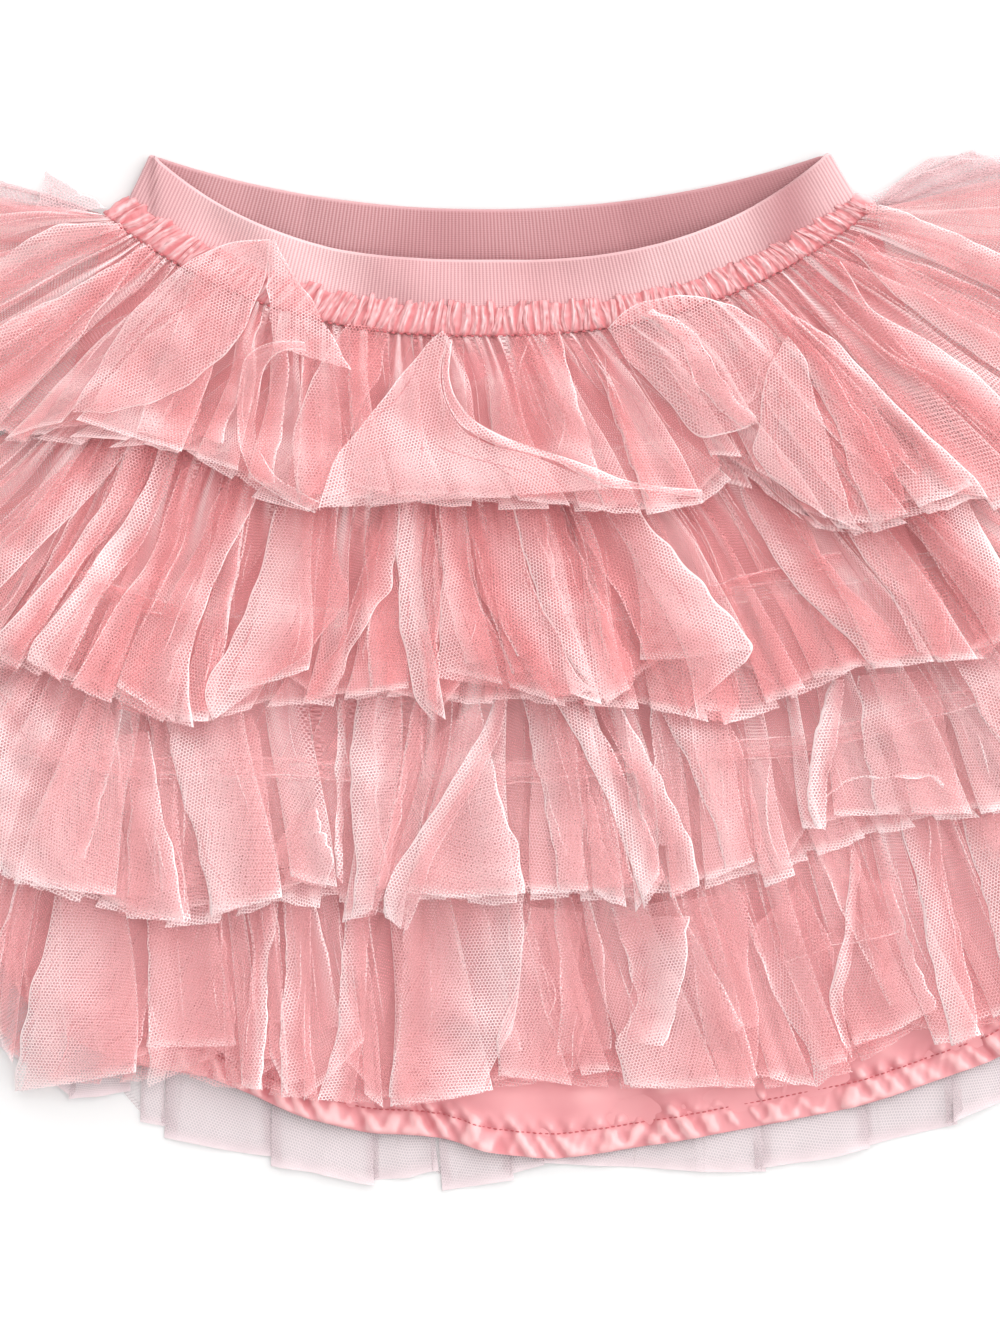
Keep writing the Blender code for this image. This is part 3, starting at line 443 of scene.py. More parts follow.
def edge_point(edge, t):
    t = np.asarray(t, float)
    x = edge.left_x + (edge.right_x - edge.left_x) * t
    y = edge.left_y + (edge.right_y - edge.left_y) * t
    return np.stack([x, y - edge.sag * (1 - np.abs(2 * t - 1) ** edge.power)], axis=-1) + SHIFT


class Ground:
    """How high what has been laid down stands, on a grid of 1 mm."""

    X0, Y0, NX, NY = -280, -240, 561, 481

    def __init__(self):
        self.top = np.zeros((self.NX, self.NY))
        self.soft = self.top.copy()

    def press(self, points, reach=3, sigma=2.2):
        i = np.clip(np.round(points[:, 0] - self.X0).astype(int), 0, self.NX - 1)
        j = np.clip(np.round(points[:, 1] - self.Y0).astype(int), 0, self.NY - 1)
        np.maximum.at(self.top, (i, j), points[:, 2])
        edge = reach + int(3 * sigma) + 2
        i0, i1 = max(0, i.min() - 2 * edge), min(self.NX, i.max() + 2 * edge)
        j0, j1 = max(0, j.min() - 2 * edge), min(self.NY, j.max() + 2 * edge)
        high = self.top[i0:i1, j0:j1]
        for axis in (0, 1):
            high = np.max([np.roll(high, k, axis) for k in range(-reach, reach + 1)], axis=0)
        high = gaussian(gaussian(high, sigma).T, sigma).T
        # Only the middle of the window is right: its rim has felt the window's other side.
        a, b = (0 if i0 == 0 else edge), (0 if j0 == 0 else edge)
        self.soft[i0 + a : i1 - edge, j0 + b : j1 - edge] = high[a : high.shape[0] - edge, b : high.shape[1] - edge]

    def felt(self, x, y):
        fx = np.clip(x - self.X0, 0, self.NX - 1.001)
        fy = np.clip(y - self.Y0, 0, self.NY - 1.001)
        i, j = fx.astype(int), fy.astype(int)
        a, b = fx - i, fy - j
        s = self.soft
        return (
            s[i, j] * (1 - a) * (1 - b) + s[i + 1, j] * a * (1 - b)
            + s[i, j + 1] * (1 - a) * b + s[i + 1, j + 1] * a * b
        )


def grid_faces(nu, nv, start=0, close=False):
    i, j = np.meshgrid(np.arange(nu if close else nu - 1), np.arange(nv - 1), indexing="ij")
    n = (i + 1) % nu
    return np.stack([i * nv + j, i * nv + j + 1, n * nv + j + 1, n * nv + j], axis=-1).reshape(-1, 4) + start


def grid_normals(g):
    du = np.gradient(g, axis=0)
    dv = np.gradient(g, axis=1)
    n = np.cross(dv, du)
    return n / np.maximum(np.linalg.norm(n, axis=-1, keepdims=True), 1e-9)


class Cloth:
    """Grids of points that make one mesh, with a place on the cloth and a density for each point."""

    def __init__(self):
        self.points, self.faces, self.places, self.veils, self.count = [], [], [], [], 0

    def add(self, grid, place, veil, close=False):
        nu, nv = grid.shape[:2]
        self.faces.append(grid_faces(nu, nv, self.count, close))
        self.points.append(grid.reshape(-1, 3))
        self.places.append(place.reshape(-1, 2))
        self.veils.append(np.broadcast_to(veil, (nu, nv)).reshape(-1))
        self.count += nu * nv

    def add_faces(self, points, faces, veil=1.0):
        self.faces.append(np.asarray(faces) + self.count)
        self.points.append(np.asarray(points, float))
        self.places.append(np.asarray(points, float)[:, :2])
        self.veils.append(np.full(len(points), veil))
        self.count += len(points)

    def make(self, name, material, flip=False, weld=False):
        points = np.concatenate(self.points) * MM
        points[:, 2] = np.maximum(points[:, 2], 0.06 * MM)  # nothing dips into the floor
        faces = np.concatenate(self.faces)
        if flip:
            faces = faces[:, ::-1]
        mesh = bpy.data.meshes.new(name)
        mesh.vertices.add(len(points))
        mesh.vertices.foreach_set("co", points.ravel())
        mesh.loops.add(faces.size)
        mesh.loops.foreach_set("vertex_index", faces.ravel().astype(np.int32))
        mesh.polygons.add(len(faces))
        mesh.polygons.foreach_set("loop_start", (np.arange(len(faces)) * 4).astype(np.int32))
        mesh.polygons.foreach_set("use_smooth", np.ones(len(faces), bool))
        mesh.update(calc_edges=True)
        uv = mesh.uv_layers.new(name="cloth")
        uv.data.foreach_set("uv", (np.concatenate(self.places) * MM)[faces.ravel()].ravel())
        veil = mesh.attributes.new("veil", "FLOAT", "POINT")
        veil.data.foreach_set("value", np.concatenate(self.veils))
        mesh.validate()
        if weld:  # a strip that is closed round its cross-section
            joined = bmesh.new()
            joined.from_mesh(mesh)
            bmesh.ops.remove_doubles(joined, verts=joined.verts, dist=1e-7)
            joined.to_mesh(mesh)
            joined.free()
        obj = bpy.data.objects.new(name, mesh)
        bpy.context.scene.collection.objects.link(obj)
        obj.data.materials.append(material)
        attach(obj, "root")
        return obj


def steepness(grid, most=4.5):
    """How many times its own density a net has, seen from above, where it turns on edge."""
    up = np.abs(grid_normals(grid)[..., 2])
    return np.clip(1 / np.maximum(up, 1e-3), 1.0, most)


# --------------------------------------------------------------------- plies
def panels_from(hem, seed, seam_x, widths=(26, 64), gaps=(8, 26), rise=(1.6, 3.4)):
    """Panels of uneven width, set out along a hem."""
    r = np.random.default_rng(seed)
    p = np.asarray(hem, float)
    d = np.concatenate([[0], np.cumsum(np.linalg.norm(np.diff(p, axis=0), axis=1))])
    place = lambda s: (np.interp(s, d, p[:, 0]), np.interp(s, d, p[:, 1]))
    found, s = [], 6.0
    while s < d[-1] - 20:
        w = min(r.uniform(*widths), d[-1] - 4 - s)
        (lx, ly), (rx, ry) = place(s), place(s + w)
        mid = (s + w / 2) / d[-1]
        top = seam_x[0] + (seam_x[1] - seam_x[0]) * (0.5 + 0.5 * math.copysign(abs(2 * mid - 1) ** 1.15, 2 * mid - 1))
        found.append(
            Panel(top, lx, ly + r.uniform(-3, 3), rx, ry + r.uniform(-3, 3), r.uniform(-6, 6),
                  w * r.uniform(0.2, 0.42), w * r.uniform(0.2, 0.42), r.uniform(*rise))
        )
        s += w + r.uniform(*gaps)
    return found


def hem_path(panels, ends, seam, columns, seed):
    """The cloth's hem from end to end, as it runs over its panels and back under their edges.
    Returns its points in plan with their height, the cloth's own length there, where each point's ray starts on the seam and how far it bows."""
    r = np.random.default_rng(seed)
    line, marks = [], []

    def put(p, height):
        line.append([p[0], p[1], height])

    start, finish = at([ends[0]])[0], at([ends[1]])[0]
    put(start, 0.0)
    for n, p in enumerate(panels):
        left, right = at([(p.left_x, p.left_y), (p.right_x, p.right_y)])
        across = right - left
        width = np.linalg.norm(across)
        across /= width
        out = np.array([across[1], -across[0]])
        if np.dot(out, (left + right) / 2 - np.array([0, 60])) < 0:
            out = -out
        ul, ur = min(p.under_left * UNIT, width * 0.46), min(p.under_right * UNIT, width * 0.46)
        h = p.rise * RISE
        short = r.uniform(0.6, 3.2, 2)
        dip = r.uniform(-0.6, 1.2)
        first = len(line)
        put(left + across * ul - out * short[0], 0.0)
        put(left + across * min(1.6, ul * 0.4) - out * short[0] * 0.35, h * 0.06)
        put(left - across * 0.15, h * 0.45)
        put(left + across * 0.9, h * 0.86)
        put(left + across * min(4.0, width * 0.3), h)
        if width > 12:
            put(left + across * width * r.uniform(0.4, 0.6) + out * dip, h * r.uniform(0.66, 0.85))
        put(right - across * min(4.0, width * 0.3), h)
        put(right - across * 0.9, h * 0.86)
        put(right + across * 0.15, h * 0.45)
        put(right - across * min(1.6, ur * 0.4) - out * short[1] * 0.35, h * 0.06)
        put(right - across * ur - out * short[1], 0.0)
        marks.append(((first + len(line) - 1) / 2, p.top, p.bow))
    put(finish, 0.0)
    line = np.array(line)
    at_line = np.concatenate([[0], np.cumsum(np.linalg.norm(np.diff(line, axis=0), axis=1))])
    step = 0.18
    fine, s = along(line, step)
    fine = gaussian(fine, 0.42 / step)
    d = np.concatenate([[0], np.cumsum(np.linalg.norm(np.diff(fine, axis=0), axis=1))])
    t = np.diff(fine, axis=0)
    t /= np.maximum(np.linalg.norm(t, axis=1, keepdims=True), 1e-9)
    turn = np.concatenate([[0], np.arccos(np.clip((t[1:] * t[:-1]).sum(axis=1), -1, 1)), [0]])
    turn = gaussian(turn, 2)
    weight = np.gradient(d) / 1.5 + turn / math.radians(15)
    total = np.concatenate([[0], np.cumsum((weight[1:] + weight[:-1]) / 2)])
    want = np.linspace(0, total[-1], columns)
    pick = np.interp(want, total, np.arange(len(total)))
    hem = np.column_stack([np.interp(pick, np.arange(len(fine)), fine[:, c]) for c in range(3)])
    length = np.interp(pick, np.arange(len(d)), d)
    where = np.interp(pick, np.arange(len(s)), s)
    mark_at = np.interp([m[0] for m in marks], np.arange(len(at_line)), at_line)
    span = np.concatenate([[0], mark_at, [at_line[-1]]])
    # Each ray starts on the seam in the cloth's own order, so the gathers never cross.
    tops = np.array([seam[0]] + [m[1] for m in marks] + [seam[1]], float)
    tops = np.maximum.accumulate(tops + np.arange(len(tops)) * 1e-3)
    start_x = np.interp(where, span, tops)
    bows = np.interp(where, span, [0] + [m[2] for m in marks] + [0])
    blur = columns / 160
    start_x = gaussian(start_x, blur)
    return hem, length, start_x, gaussian(bows, blur) * UNIT


def seam_share(x):
    """Share of the header's width for a place x of the drawing."""
    return np.clip(((x - 500) * UNIT - FRONT_HEADER.left_x) / (FRONT_HEADER.right_x - FRONT_HEADER.left_x), 0, 1)


def header_seam(edge):
    def place(x):
        return edge_point(edge, seam_share(x))
    return place


def table_seam(table, drop=0.0):
    t = np.asarray(table) + SHIFT

    def place(x):
        mm = (np.asarray(x) - 500) * UNIT + SHIFT[0]
        return np.stack([mm, np.interp(mm, t[:, 0], t[:, 1]) - drop], axis=-1)
    return place


def creases(cloth, grid, length, v, seed, count, place):
    """Thin pinched creases, which stand on a ply and run down it at a slant."""
    if not count:
        return
    r = np.random.default_rng(seed)
    normals = grid_normals(grid)
    normals = normals * np.sign(normals[..., 2:3] + 1e-9)
    nu, nv = grid.shape[:2]
    n = 18
    t = np.linspace(0, 1, n)

    def sample(field, i, j):
        i = np.clip(i, 0, nu - 1.001)
        j = np.clip(j, 0, nv - 1.001)
        a, b = i.astype(int), j.astype(int)
        fi, fj = (i - a)[:, None], (j - b)[:, None]
        return (
            field[a, b] * (1 - fi) * (1 - fj) + field[a + 1, b] * fi * (1 - fj)
            + field[a, b + 1] * (1 - fi) * fj + field[a + 1, b + 1] * fi * fj
        )

    for k in range(count):
        if r.random() < 0.45:  # out of the gathers
            v0 = r.uniform(0.0, 0.05)
            v1 = v0 + r.uniform(0.2, 0.9)
        else:
            v0 = r.uniform(0.05, 0.7)
            v1 = v0 + r.uniform(0.2, 0.7)
        v1 = min(v1, 1.0)
        slant, bend = r.normal(0, 7) * (v1 - v0), r.normal(0, 2.5)
        s0 = r.uniform(0, length[-1])
        s = s0 + slant * t + bend * np.sin(math.pi * t)
        vv = v0 + (v1 - v0) * t
        i = np.interp(s, length, np.arange(nu))
        j = np.interp(vv, v, np.arange(nv))
        p, q = sample(grid, i, j), sample(normals, i, j)
        q /= np.maximum(np.linalg.norm(q, axis=1, keepdims=True), 1e-9)
        d = np.gradient(p, axis=0)
        side = np.cross(q, d)
        side /= np.maximum(np.linalg.norm(side, axis=1, keepdims=True), 1e-9)
        taper = np.sin(math.pi * np.clip(t * 0.92 + 0.04, 0, 1)) ** 0.6
        wide = (r.uniform(0.35, 0.85) * taper)[:, None] / 2
        high = (r.uniform(0.2, 0.5) * taper)[:, None]
        strip = np.stack([p - side * wide + q * 0.05, p + q * high, p + side * wide + q * 0.05], axis=1)
        strength = r.uniform(1.0, 2.3)
        dense = np.stack([0.5 * strength * taper, strength * taper, 0.5 * strength * taper], axis=1)
        cell = np.stack([np.stack([s + o, vv * 90], axis=1) for o in (-0.5, 0.0, 0.5)], axis=1)
        cloth.add(strip, cell, dense)


def ply(cloth, ground, panels, ends, seam_range, seam_place, columns, rows, seed, gap=0.5, arch=3.0,
        gather=1.0, gathers=110, wrinkles=34, wander=1.4, heading=0.0, veil=1.0, drop=0.0, doubled=0.5, strips=60,
        most=4.5, ruched=0.0):
    """One gathered ply of a tier, laid on the ground. It is added to cloth, and its length along the hem, its depth
    from seam to hem and its cut area are returned.
    """
    r = np.random.default_rng(seed)
    hem, length, start_x, bow = hem_path(panels, ends, seam_range, columns, seed)
    start = seam_place(start_x)
    start = gaussian(start, 1.5)
    v = np.concatenate([np.linspace(0, 0.16, rows // 5, endpoint=False), np.linspace(0.16, 1.0, rows - rows // 5)])
    run = hem[:, :2] - start
    depth = np.linalg.norm(run, axis=1)
    side = np.stack([-run[:, 1], run[:, 0]], axis=1) / depth[:, None]
    hem_xy = hem[:, :2] + run / depth[:, None] * drop
    u = length / length[-1]
    plan = start[:, None, :] * (1 - v)[None, :, None] + hem_xy[:, None, :] * v[None, :, None]
    plan = plan + side[:, None, :] * (bow[:, None] * 4 * v * (1 - v))[..., None]
    # Folds never run quite straight.
    lo = Noise(seed + 1, 60, 170)
    lo2 = Noise(seed + 2, 40, 120)
    own = Noise(seed + 3, 40, 120)
    free = smooth(v / 0.5)[None, :]
    sway = lo(plan[..., 0], plan[..., 1]) * wander * free
    sway = sway + own(length[:, None], v[None, :] * 70) * wander * 0.45 * free
    push = lo2(plan[..., 0], plan[..., 1]) * wander * 0.5 * free
    plan = plan + side[:, None, :] * sway[..., None] + (run / depth[:, None])[:, None, :] * push[..., None]
    base = ground.felt(plan[..., 0], plan[..., 1]) + gap
    tall = smooth(v / 0.34) * (0.7 + 0.3 * v)
    z = base + hem[:, 2:3] * tall[None, :]
    ends_fade = smooth(np.minimum(u, 1 - u) / 0.05)[:, None]
    z = z + arch * (np.sin(math.pi * np.clip(v * 0.92 + 0.03, 0, 1)) ** 0.9)[None, :] * ends_fade
    # Small gathers fade out below the seam and broader ones further down.
    shift = Noise(seed + 4, 30, 160)(length) * 0.35
    phase = 2 * math.pi * (gathers * u + shift)
    reach = 0.15 + 0.07 * Noise(seed + 8, 8, 40)(length)
    fine = np.sin(phase)[:, None] * np.exp(-((v[None, :] / reach[:, None]) ** 2))
    broad = Noise(seed + 5, 9, 34)(length)[:, None] * np.exp(-(((v - 0.16) / 0.2) ** 2))[None, :]
    grown = smooth(v / 0.02)[None, :] * 0.75 + 0.25
    z = z + gather * (0.75 * (fine + 1) + 0.5 * (broad + 1)) * grown
    # Thin creases that start anywhere and run down the cloth at a slight slant.
    for _ in range(wrinkles):
        s0, slant = r.uniform(0, length[-1]), r.normal(0, 10)
        v0 = r.uniform(0.0, 0.55)
        v1 = v0 + r.uniform(0.25, 0.6)
        wide, size = r.uniform(0.8, 2.0), r.uniform(0.35, 1.1)
        window = smooth((v - v0) / 0.12) * smooth((v1 - v) / 0.15)
        off = (length[:, None] - s0 - slant * v[None, :]) / wide
        z = z + size * np.exp(-(off**2)) * window[None, :]
    z = z + 0.35 * (Noise(seed + 6, 14, 50)(length[:, None], v[None, :] * 80) + 1) * free
    # The cut edge lifts and dips a little.
    z = z + 1.1 * np.maximum(Noise(seed + 7, 12, 46)(length), -0.3)[:, None] * smooth((v - 0.86) / 0.14)[None, :]
    grid = np.concatenate([plan, z[..., None]], axis=-1)
    long = float(np.mean(depth))
    place = np.stack([np.broadcast_to(length[:, None], z.shape), np.broadcast_to(v[None, :] * long, z.shape)], axis=-1)
    thick = steepness(grid, most)
    edge = 1 + 0.8 * smooth((v - 0.985) / 0.015)
    # A fold's crest is cloth that lies double and more; between the folds it is single.
    crest = gaussian(np.clip(hem[:, 2] / max(hem[:, 2].max() * 0.6, 0.1), 0, 1), columns / 430)
    body = 0.85 + ((1 - doubled) + 2 * doubled * crest[:, None] - 0.85) * smooth(v / 0.3)[None, :]
    # Just below the seam the gathers lie dense and thin by turns.
    bunch = Noise(seed + 10, 5, 16)(length)[:, None] * np.exp(-((v / 0.3) ** 2))[None, :]
    body = body * np.clip(1 + ruched * bunch, 0.35, 2.2)
    cloth.add(grid, place, thick * veil * edge[None, :] * body)
    creases(cloth, grid, length, v, seed + 9, strips, place)
    if heading > 0:
        # The flat strip above the gathering line.
        hv = np.linspace(0, 1, 6)
        up = -run / depth[:, None]
        flat_x = start[:, None, :] + up[:, None, :] * (hv * heading)[None, :, None]
        hz = ground.felt(flat_x[..., 0], flat_x[..., 1]) + gap * 0.8
        hz = hz + 0.35 * (np.sin(phase * 0.5)[:, None] + 1) * (1 - hv)[None, :]
        strip = np.concatenate([flat_x, hz[..., None]], axis=-1)
        dense = 1.5 + 2.0 * (np.minimum(hv, 1 - hv) < 0.05)
        hplace = np.stack([np.broadcast_to(length[:, None], hz.shape), np.broadcast_to(-hv * heading, hz.shape)], axis=-1)
        cloth.add(strip, hplace, np.broadcast_to(dense[None, :], hz.shape))
        ground.press(strip.reshape(-1, 3))
    ground.press(grid.reshape(-1, 3))
    seam = np.concatenate([[0], np.linalg.norm(np.diff(grid[:, 1, :], axis=0), axis=1)])
    cut = float((depth * (np.gradient(length) + 1.15 * seam) / 2).sum())
    return length[-1], float(np.percentile(depth, 80)), cut


def flap(cloth, ground, f, seed, n=80, m=34, fade=0.0):
    """A loop of the cloth that lies on the rest. With fade it is dense at one fold and thins out towards its other side."""
    a, b = curve(at(f.one), n, 5.0), curve(at(f.other), n, 5.0)
    waver = Noise(seed + 2, 7, 26)
    t0 = np.linspace(0, 60, n)
    a = a + np.column_stack([waver(t0), waver(t0 + 200)]) * 0.35
    b = b + np.column_stack([waver(t0 + 400), waver(t0 + 600)]) * 0.35
    w = np.linspace(0, 1, m)
    w = 0.5 - 0.5 * np.cos(math.pi * w)
    w = 0.12 * np.linspace(0, 1, m) + 0.88 * w
    plan = a[:, None, :] * (1 - w)[None, :, None] + b[:, None, :] * w[None, :, None]
    wave = Noise(seed, 14, 50)
    wave2 = Noise(seed + 1, 9, 30)
    across = w if (seed // 10) % 3 else 1 - w
    body = (4 * w * (1 - w))[None, :] ** 0.45
    if fade:
        body = np.clip(np.sin(math.pi * across**0.62), 0, 1)[None, :] ** 0.6
    t = np.linspace(0, 1, n)[:, None]
    width = np.linalg.norm(b - a, axis=1)[:, None]
    swell = f.swell * np.clip(width / width.max(), 0, 1) ** 0.7
    low = ground.felt(plan[..., 0], plan[..., 1])
    low = gaussian(gaussian(low, 2.0).T, 1.5).T
    z = low + f.lift + swell * body * 0.5
    z = z + 0.9 * wave(plan[..., 0], plan[..., 1]) * body + 0.25 * wave2(plan[..., 0], plan[..., 1]) * body
    grid = np.concatenate([plan, z[..., None]], axis=-1)
    heading = b[-1] + a[-1] - b[0] - a[0]
    turn = math.atan2(heading[0], -heading[1])
    place = np.stack([plan[..., 0] * math.cos(turn) + plan[..., 1] * math.sin(turn),
                      plan[..., 1] * math.cos(turn) - plan[..., 0] * math.sin(turn)], axis=-1)
    rim = np.exp(-(np.minimum(across * width, 4) / 0.32) ** 2)
    rim = rim + (1 - fade) * np.exp(-(np.minimum((1 - across) * width, 4) / 0.36) ** 2)
    rim = rim * (0.62 + 0.38 * Noise(seed + 3, 0.25, 0.9)(t)) * np.clip(width / 3.0, 0.3, 1)
    dense = f.veil * (1 - fade * smooth(across))[None, :] * (1 - 0.6 * fade * (1 - smooth(t / 0.35)))
    cloth.add(grid, place, steepness(grid, 2.3) * dense + 1.2 * np.clip(rim, 0, 1.4))
    r = np.random.default_rng(seed + 5)
    normals = grid_normals(grid)
    normals = normals * np.sign(normals[..., 2:3] + 1e-9)
    for _ in range(int(1 + swell.max() * (0.5 if fade else 1.0))):
        t0 = r.uniform(0, 0.6)
        t1 = min(1.0, t0 + r.uniform(0.3, 0.8))
        i = np.linspace(t0, t1, 30) * (n - 1.001)
        j = np.clip(r.uniform(0.08, 0.92) + r.normal(0, 0.12) * np.linspace(0, 1, 30) + r.normal(0, 0.04) * np.sin(np.linspace(0, 5, 30)), 0.02, 0.97) * (m - 1.001)
        a0, b0 = i.astype(int), j.astype(int)
        fi, fj = (i - a0)[:, None], (j - b0)[:, None]
        p = (grid[a0, b0] * (1 - fi) * (1 - fj) + grid[a0 + 1, b0] * fi * (1 - fj)
             + grid[a0, b0 + 1] * (1 - fi) * fj + grid[a0 + 1, b0 + 1] * fi * fj)
        q = normals[a0, b0]
        side = np.cross(q, np.gradient(p, axis=0))
        side /= np.maximum(np.linalg.norm(side, axis=1, keepdims=True), 1e-9)
        taper = np.sin(math.pi * np.linspace(0.03, 0.97, 30)) ** 0.6
        wide, high = (r.uniform(0.35, 0.8) * taper)[:, None] / 2, (r.uniform(0.15, 0.45) * taper)[:, None]
        strip = np.stack([p - side * wide + q * 0.05, p + q * high, p + side * wide + q * 0.05], axis=1)
        strength = r.uniform(0.7, 1.7)
        cloth.add(strip, strip[..., :2].copy(), np.stack([0.5 * strength * taper, strength * taper, 0.5 * strength * taper], axis=1))
    ground.press(grid.reshape(-1, 3))


def soft_folds(panels, seam_place, seed, count):
    """Soft narrow folds that run from the seam to the hem, each over one of the broad ones."""
    r = np.random.default_rng(seed)
    found = []
    for _ in range(count):
        p = panels[r.integers(1, len(panels) - 1)]
        x = p.top + r.uniform(-26, 26)
        start = (seam_place(np.array([x]))[0] - SHIFT) / UNIT
        start = np.array([start[0] + 500, 670 - start[1]])
        left, right = np.array([p.left_x, p.left_y]), np.array([p.right_x, p.right_y])
        end = left + (right - left) * r.uniform(0.1, 0.9)
        run = end - start
        end = start + run * r.uniform(0.8, 0.985)
        side = np.array([-run[1], run[0]]) / np.linalg.norm(run)
        if side[0] < 0:
            side = -side
        narrow, wide, bend = r.uniform(3, 8), r.uniform(8, 24), r.normal(0, 9)
        t = np.linspace(r.uniform(0.02, 0.3), 1, 7)[:, None]
        middle = start + (end - start) * t + side * bend * np.sin(math.pi * t)
        half = side * (narrow + (wide - narrow) * t)
        found.append(fold(middle - half, middle + half, r.uniform(1.2, 2.6), 0.25, r.uniform(0.55, 1.05)))
    return found


# ------------------------------------------------------------------ materials
def srgb(r, g, b):
    lin = lambda c: c / 12.92 if c <= 0.04045 else ((c + 0.055) / 1.055) ** 2.4
    return (lin(r / 255), lin(g / 255), lin(b / 255), 1.0)


class Nodes:
    def __init__(self, name):
        self.material = bpy.data.materials.new(name)
        self.material.use_nodes = True
        self.tree = self.material.node_tree
        self.shader = self.tree.nodes["Principled BSDF"]

    def new(self, kind, **settings):
        node = self.tree.nodes.new(kind)
        for key, value in settings.items():
            setattr(node, key, value)
        return node

    def link(self, a, b):
        self.tree.links.new(a, b)

    def math(self, operation, *inputs, clamp=False):
        node = self.new("ShaderNodeMath", operation=operation, use_clamp=clamp)
        for n, value in enumerate(inputs):
            if isinstance(value, (int, float)):
                node.inputs[n].default_value = value
            else:
                self.link(value, node.inputs[n])
        return node.outputs[0]

    def ramp(self, value, low, high, out_low=0.0, out_high=1.0):
        node = self.new("ShaderNodeMapRange", interpolation_type="SMOOTHSTEP")
        for n, x in enumerate((None, low, high, out_low, out_high)):
            if n:
                node.inputs[n].default_value = x
        self.link(value, node.inputs[0])
        return node.outputs[0]

    def mix(self, share, one, two):
        node = self.new("ShaderNodeMix", data_type="RGBA")
        if isinstance(share, (int, float)):
            node.inputs[0].default_value = share
        else:
            self.link(share, node.inputs[0])
        for socket, value in ((node.inputs[6], one), (node.inputs[7], two)):
            if isinstance(value, tuple):
                socket.default_value = value
            else:
                self.link(value, socket)
        return node.outputs[2]

    def noise(self, vector, scale, detail=2.0, roughness=0.5):
        node = self.new("ShaderNodeTexNoise")
        node.inputs["Scale"].default_value = scale
        node.inputs["Detail"].default_value = detail
        node.inputs["Roughness"].default_value = roughness
        self.link(vector, node.inputs["Vector"])
        return node.outputs["Fac"]

    def attribute(self, name):
        return self.new("ShaderNodeAttribute", attribute_name=name).outputs["Fac"]

    def set(self, **values):
        for key, value in values.items():
            self.shader.inputs[key.replace("_", " ")].default_value = value


def net_material(name, deep, thread, bright, hole_share, thread_share, cell=NET_CELL, relief=0.35):
    """Net of round holes between fine threads. It is denser, and paler, where the cloth turns on edge."""
    m = Nodes(name)
    uv = m.new("ShaderNodeUVMap", uv_map="cloth").outputs[0]
    cosines = None
    k = 4 * math.pi / (math.sqrt(3) * cell * MM)
    for degrees in (90, 210, 330):
        dot = m.new("ShaderNodeVectorMath", operation="DOT_PRODUCT")
        m.link(uv, dot.inputs[0])
        a = math.radians(degrees + 11)
        dot.inputs[1].default_value = (k * math.cos(a), k * math.sin(a), 0)
        c = m.math("COSINE", dot.outputs["Value"])
        cosines = c if cosines is None else m.math("ADD", cosines, c)
    strand = m.ramp(cosines, -0.05, -0.95)
    veil = m.attribute("veil")
    # Where many layers lie on each other the holes close up.
    filled = m.math("MAXIMUM", strand, m.ramp(veil, 1.5, 2.7, 0.0, 0.85))
    share = m.math("MULTIPLY_ADD", filled, thread_share - hole_share, hole_share)
    clear = m.math("POWER", m.math("SUBTRACT", 1.0, share), veil)
    alpha = m.math("SUBTRACT", 1.0, clear, clamp=True)
    body = m.mix(m.ramp(veil, 0.5, 1.5), deep, thread)
    m.link(m.mix(m.ramp(veil, 1.4, 3.6), body, bright), m.shader.inputs["Base Color"])
    m.link(alpha, m.shader.inputs["Alpha"])
    m.link(m.ramp(strand, 0.0, 1.0, 0.95, 0.75), m.shader.inputs["Roughness"])
    bump = m.new("ShaderNodeBump")
    bump.inputs["Strength"].default_value = relief
    bump.inputs["Distance"].default_value = 0.00012
    m.link(strand, bump.inputs["Height"])
    m.link(bump.outputs[0], m.shader.inputs["Normal"])
    m.set(Specular_IOR_Level=0.0)
    return m.material


def satin_material(name, colour, dark, weave=0.35):
    m = Nodes(name)
    place = m.new("ShaderNodeTexCoord").outputs["Object"]
    uv = m.new("ShaderNodeUVMap", uv_map="cloth").outputs[0]
    soft = m.noise(place, 38.0, 3.0)
    # Painted shade and highlight: a pucker's hollow is painted darker and its crest paler.
    veil = m.attribute("veil")  # 0 in a pucker's hollow, 1 on its crest
    # painted shade: the hollows of the puckers darken towards a deep rose
    cloth = m.mix(veil, srgb(207, 124, 130), m.mix(m.ramp(soft, 0.35, 0.75), colour, dark))
    # painted highlight: the crests of the puckers pale towards a whitish pink
    m.link(m.mix(m.ramp(veil, 0.66, 1.0, 0.0, 0.5), cloth, srgb(255, 206, 206)), m.shader.inputs["Base Color"])
    threads = m.new("ShaderNodeTexWave", wave_type="BANDS", bands_direction="Y")
    threads.inputs["Scale"].default_value = 900.0
    threads.inputs["Distortion"].default_value = 1.2
    threads.inputs["Detail"].default_value = 1.0
    m.link(uv, threads.inputs["Vector"])
    m.link(m.ramp(soft, 0.3, 0.7, 0.3, 0.44), m.shader.inputs["Roughness"])
    bump = m.new("ShaderNodeBump")
    bump.inputs["Strength"].default_value = weave
    bump.inputs["Distance"].default_value = 0.00008
    m.link(threads.outputs["Fac"], bump.inputs["Height"])
    m.link(bump.outputs[0], m.shader.inputs["Normal"])
    m.set(Sheen_Weight=0.35, Sheen_Roughness=0.35, Sheen_Tint=(1.0, 0.86, 0.86, 1.0), Specular_IOR_Level=0.45)
    return m.material


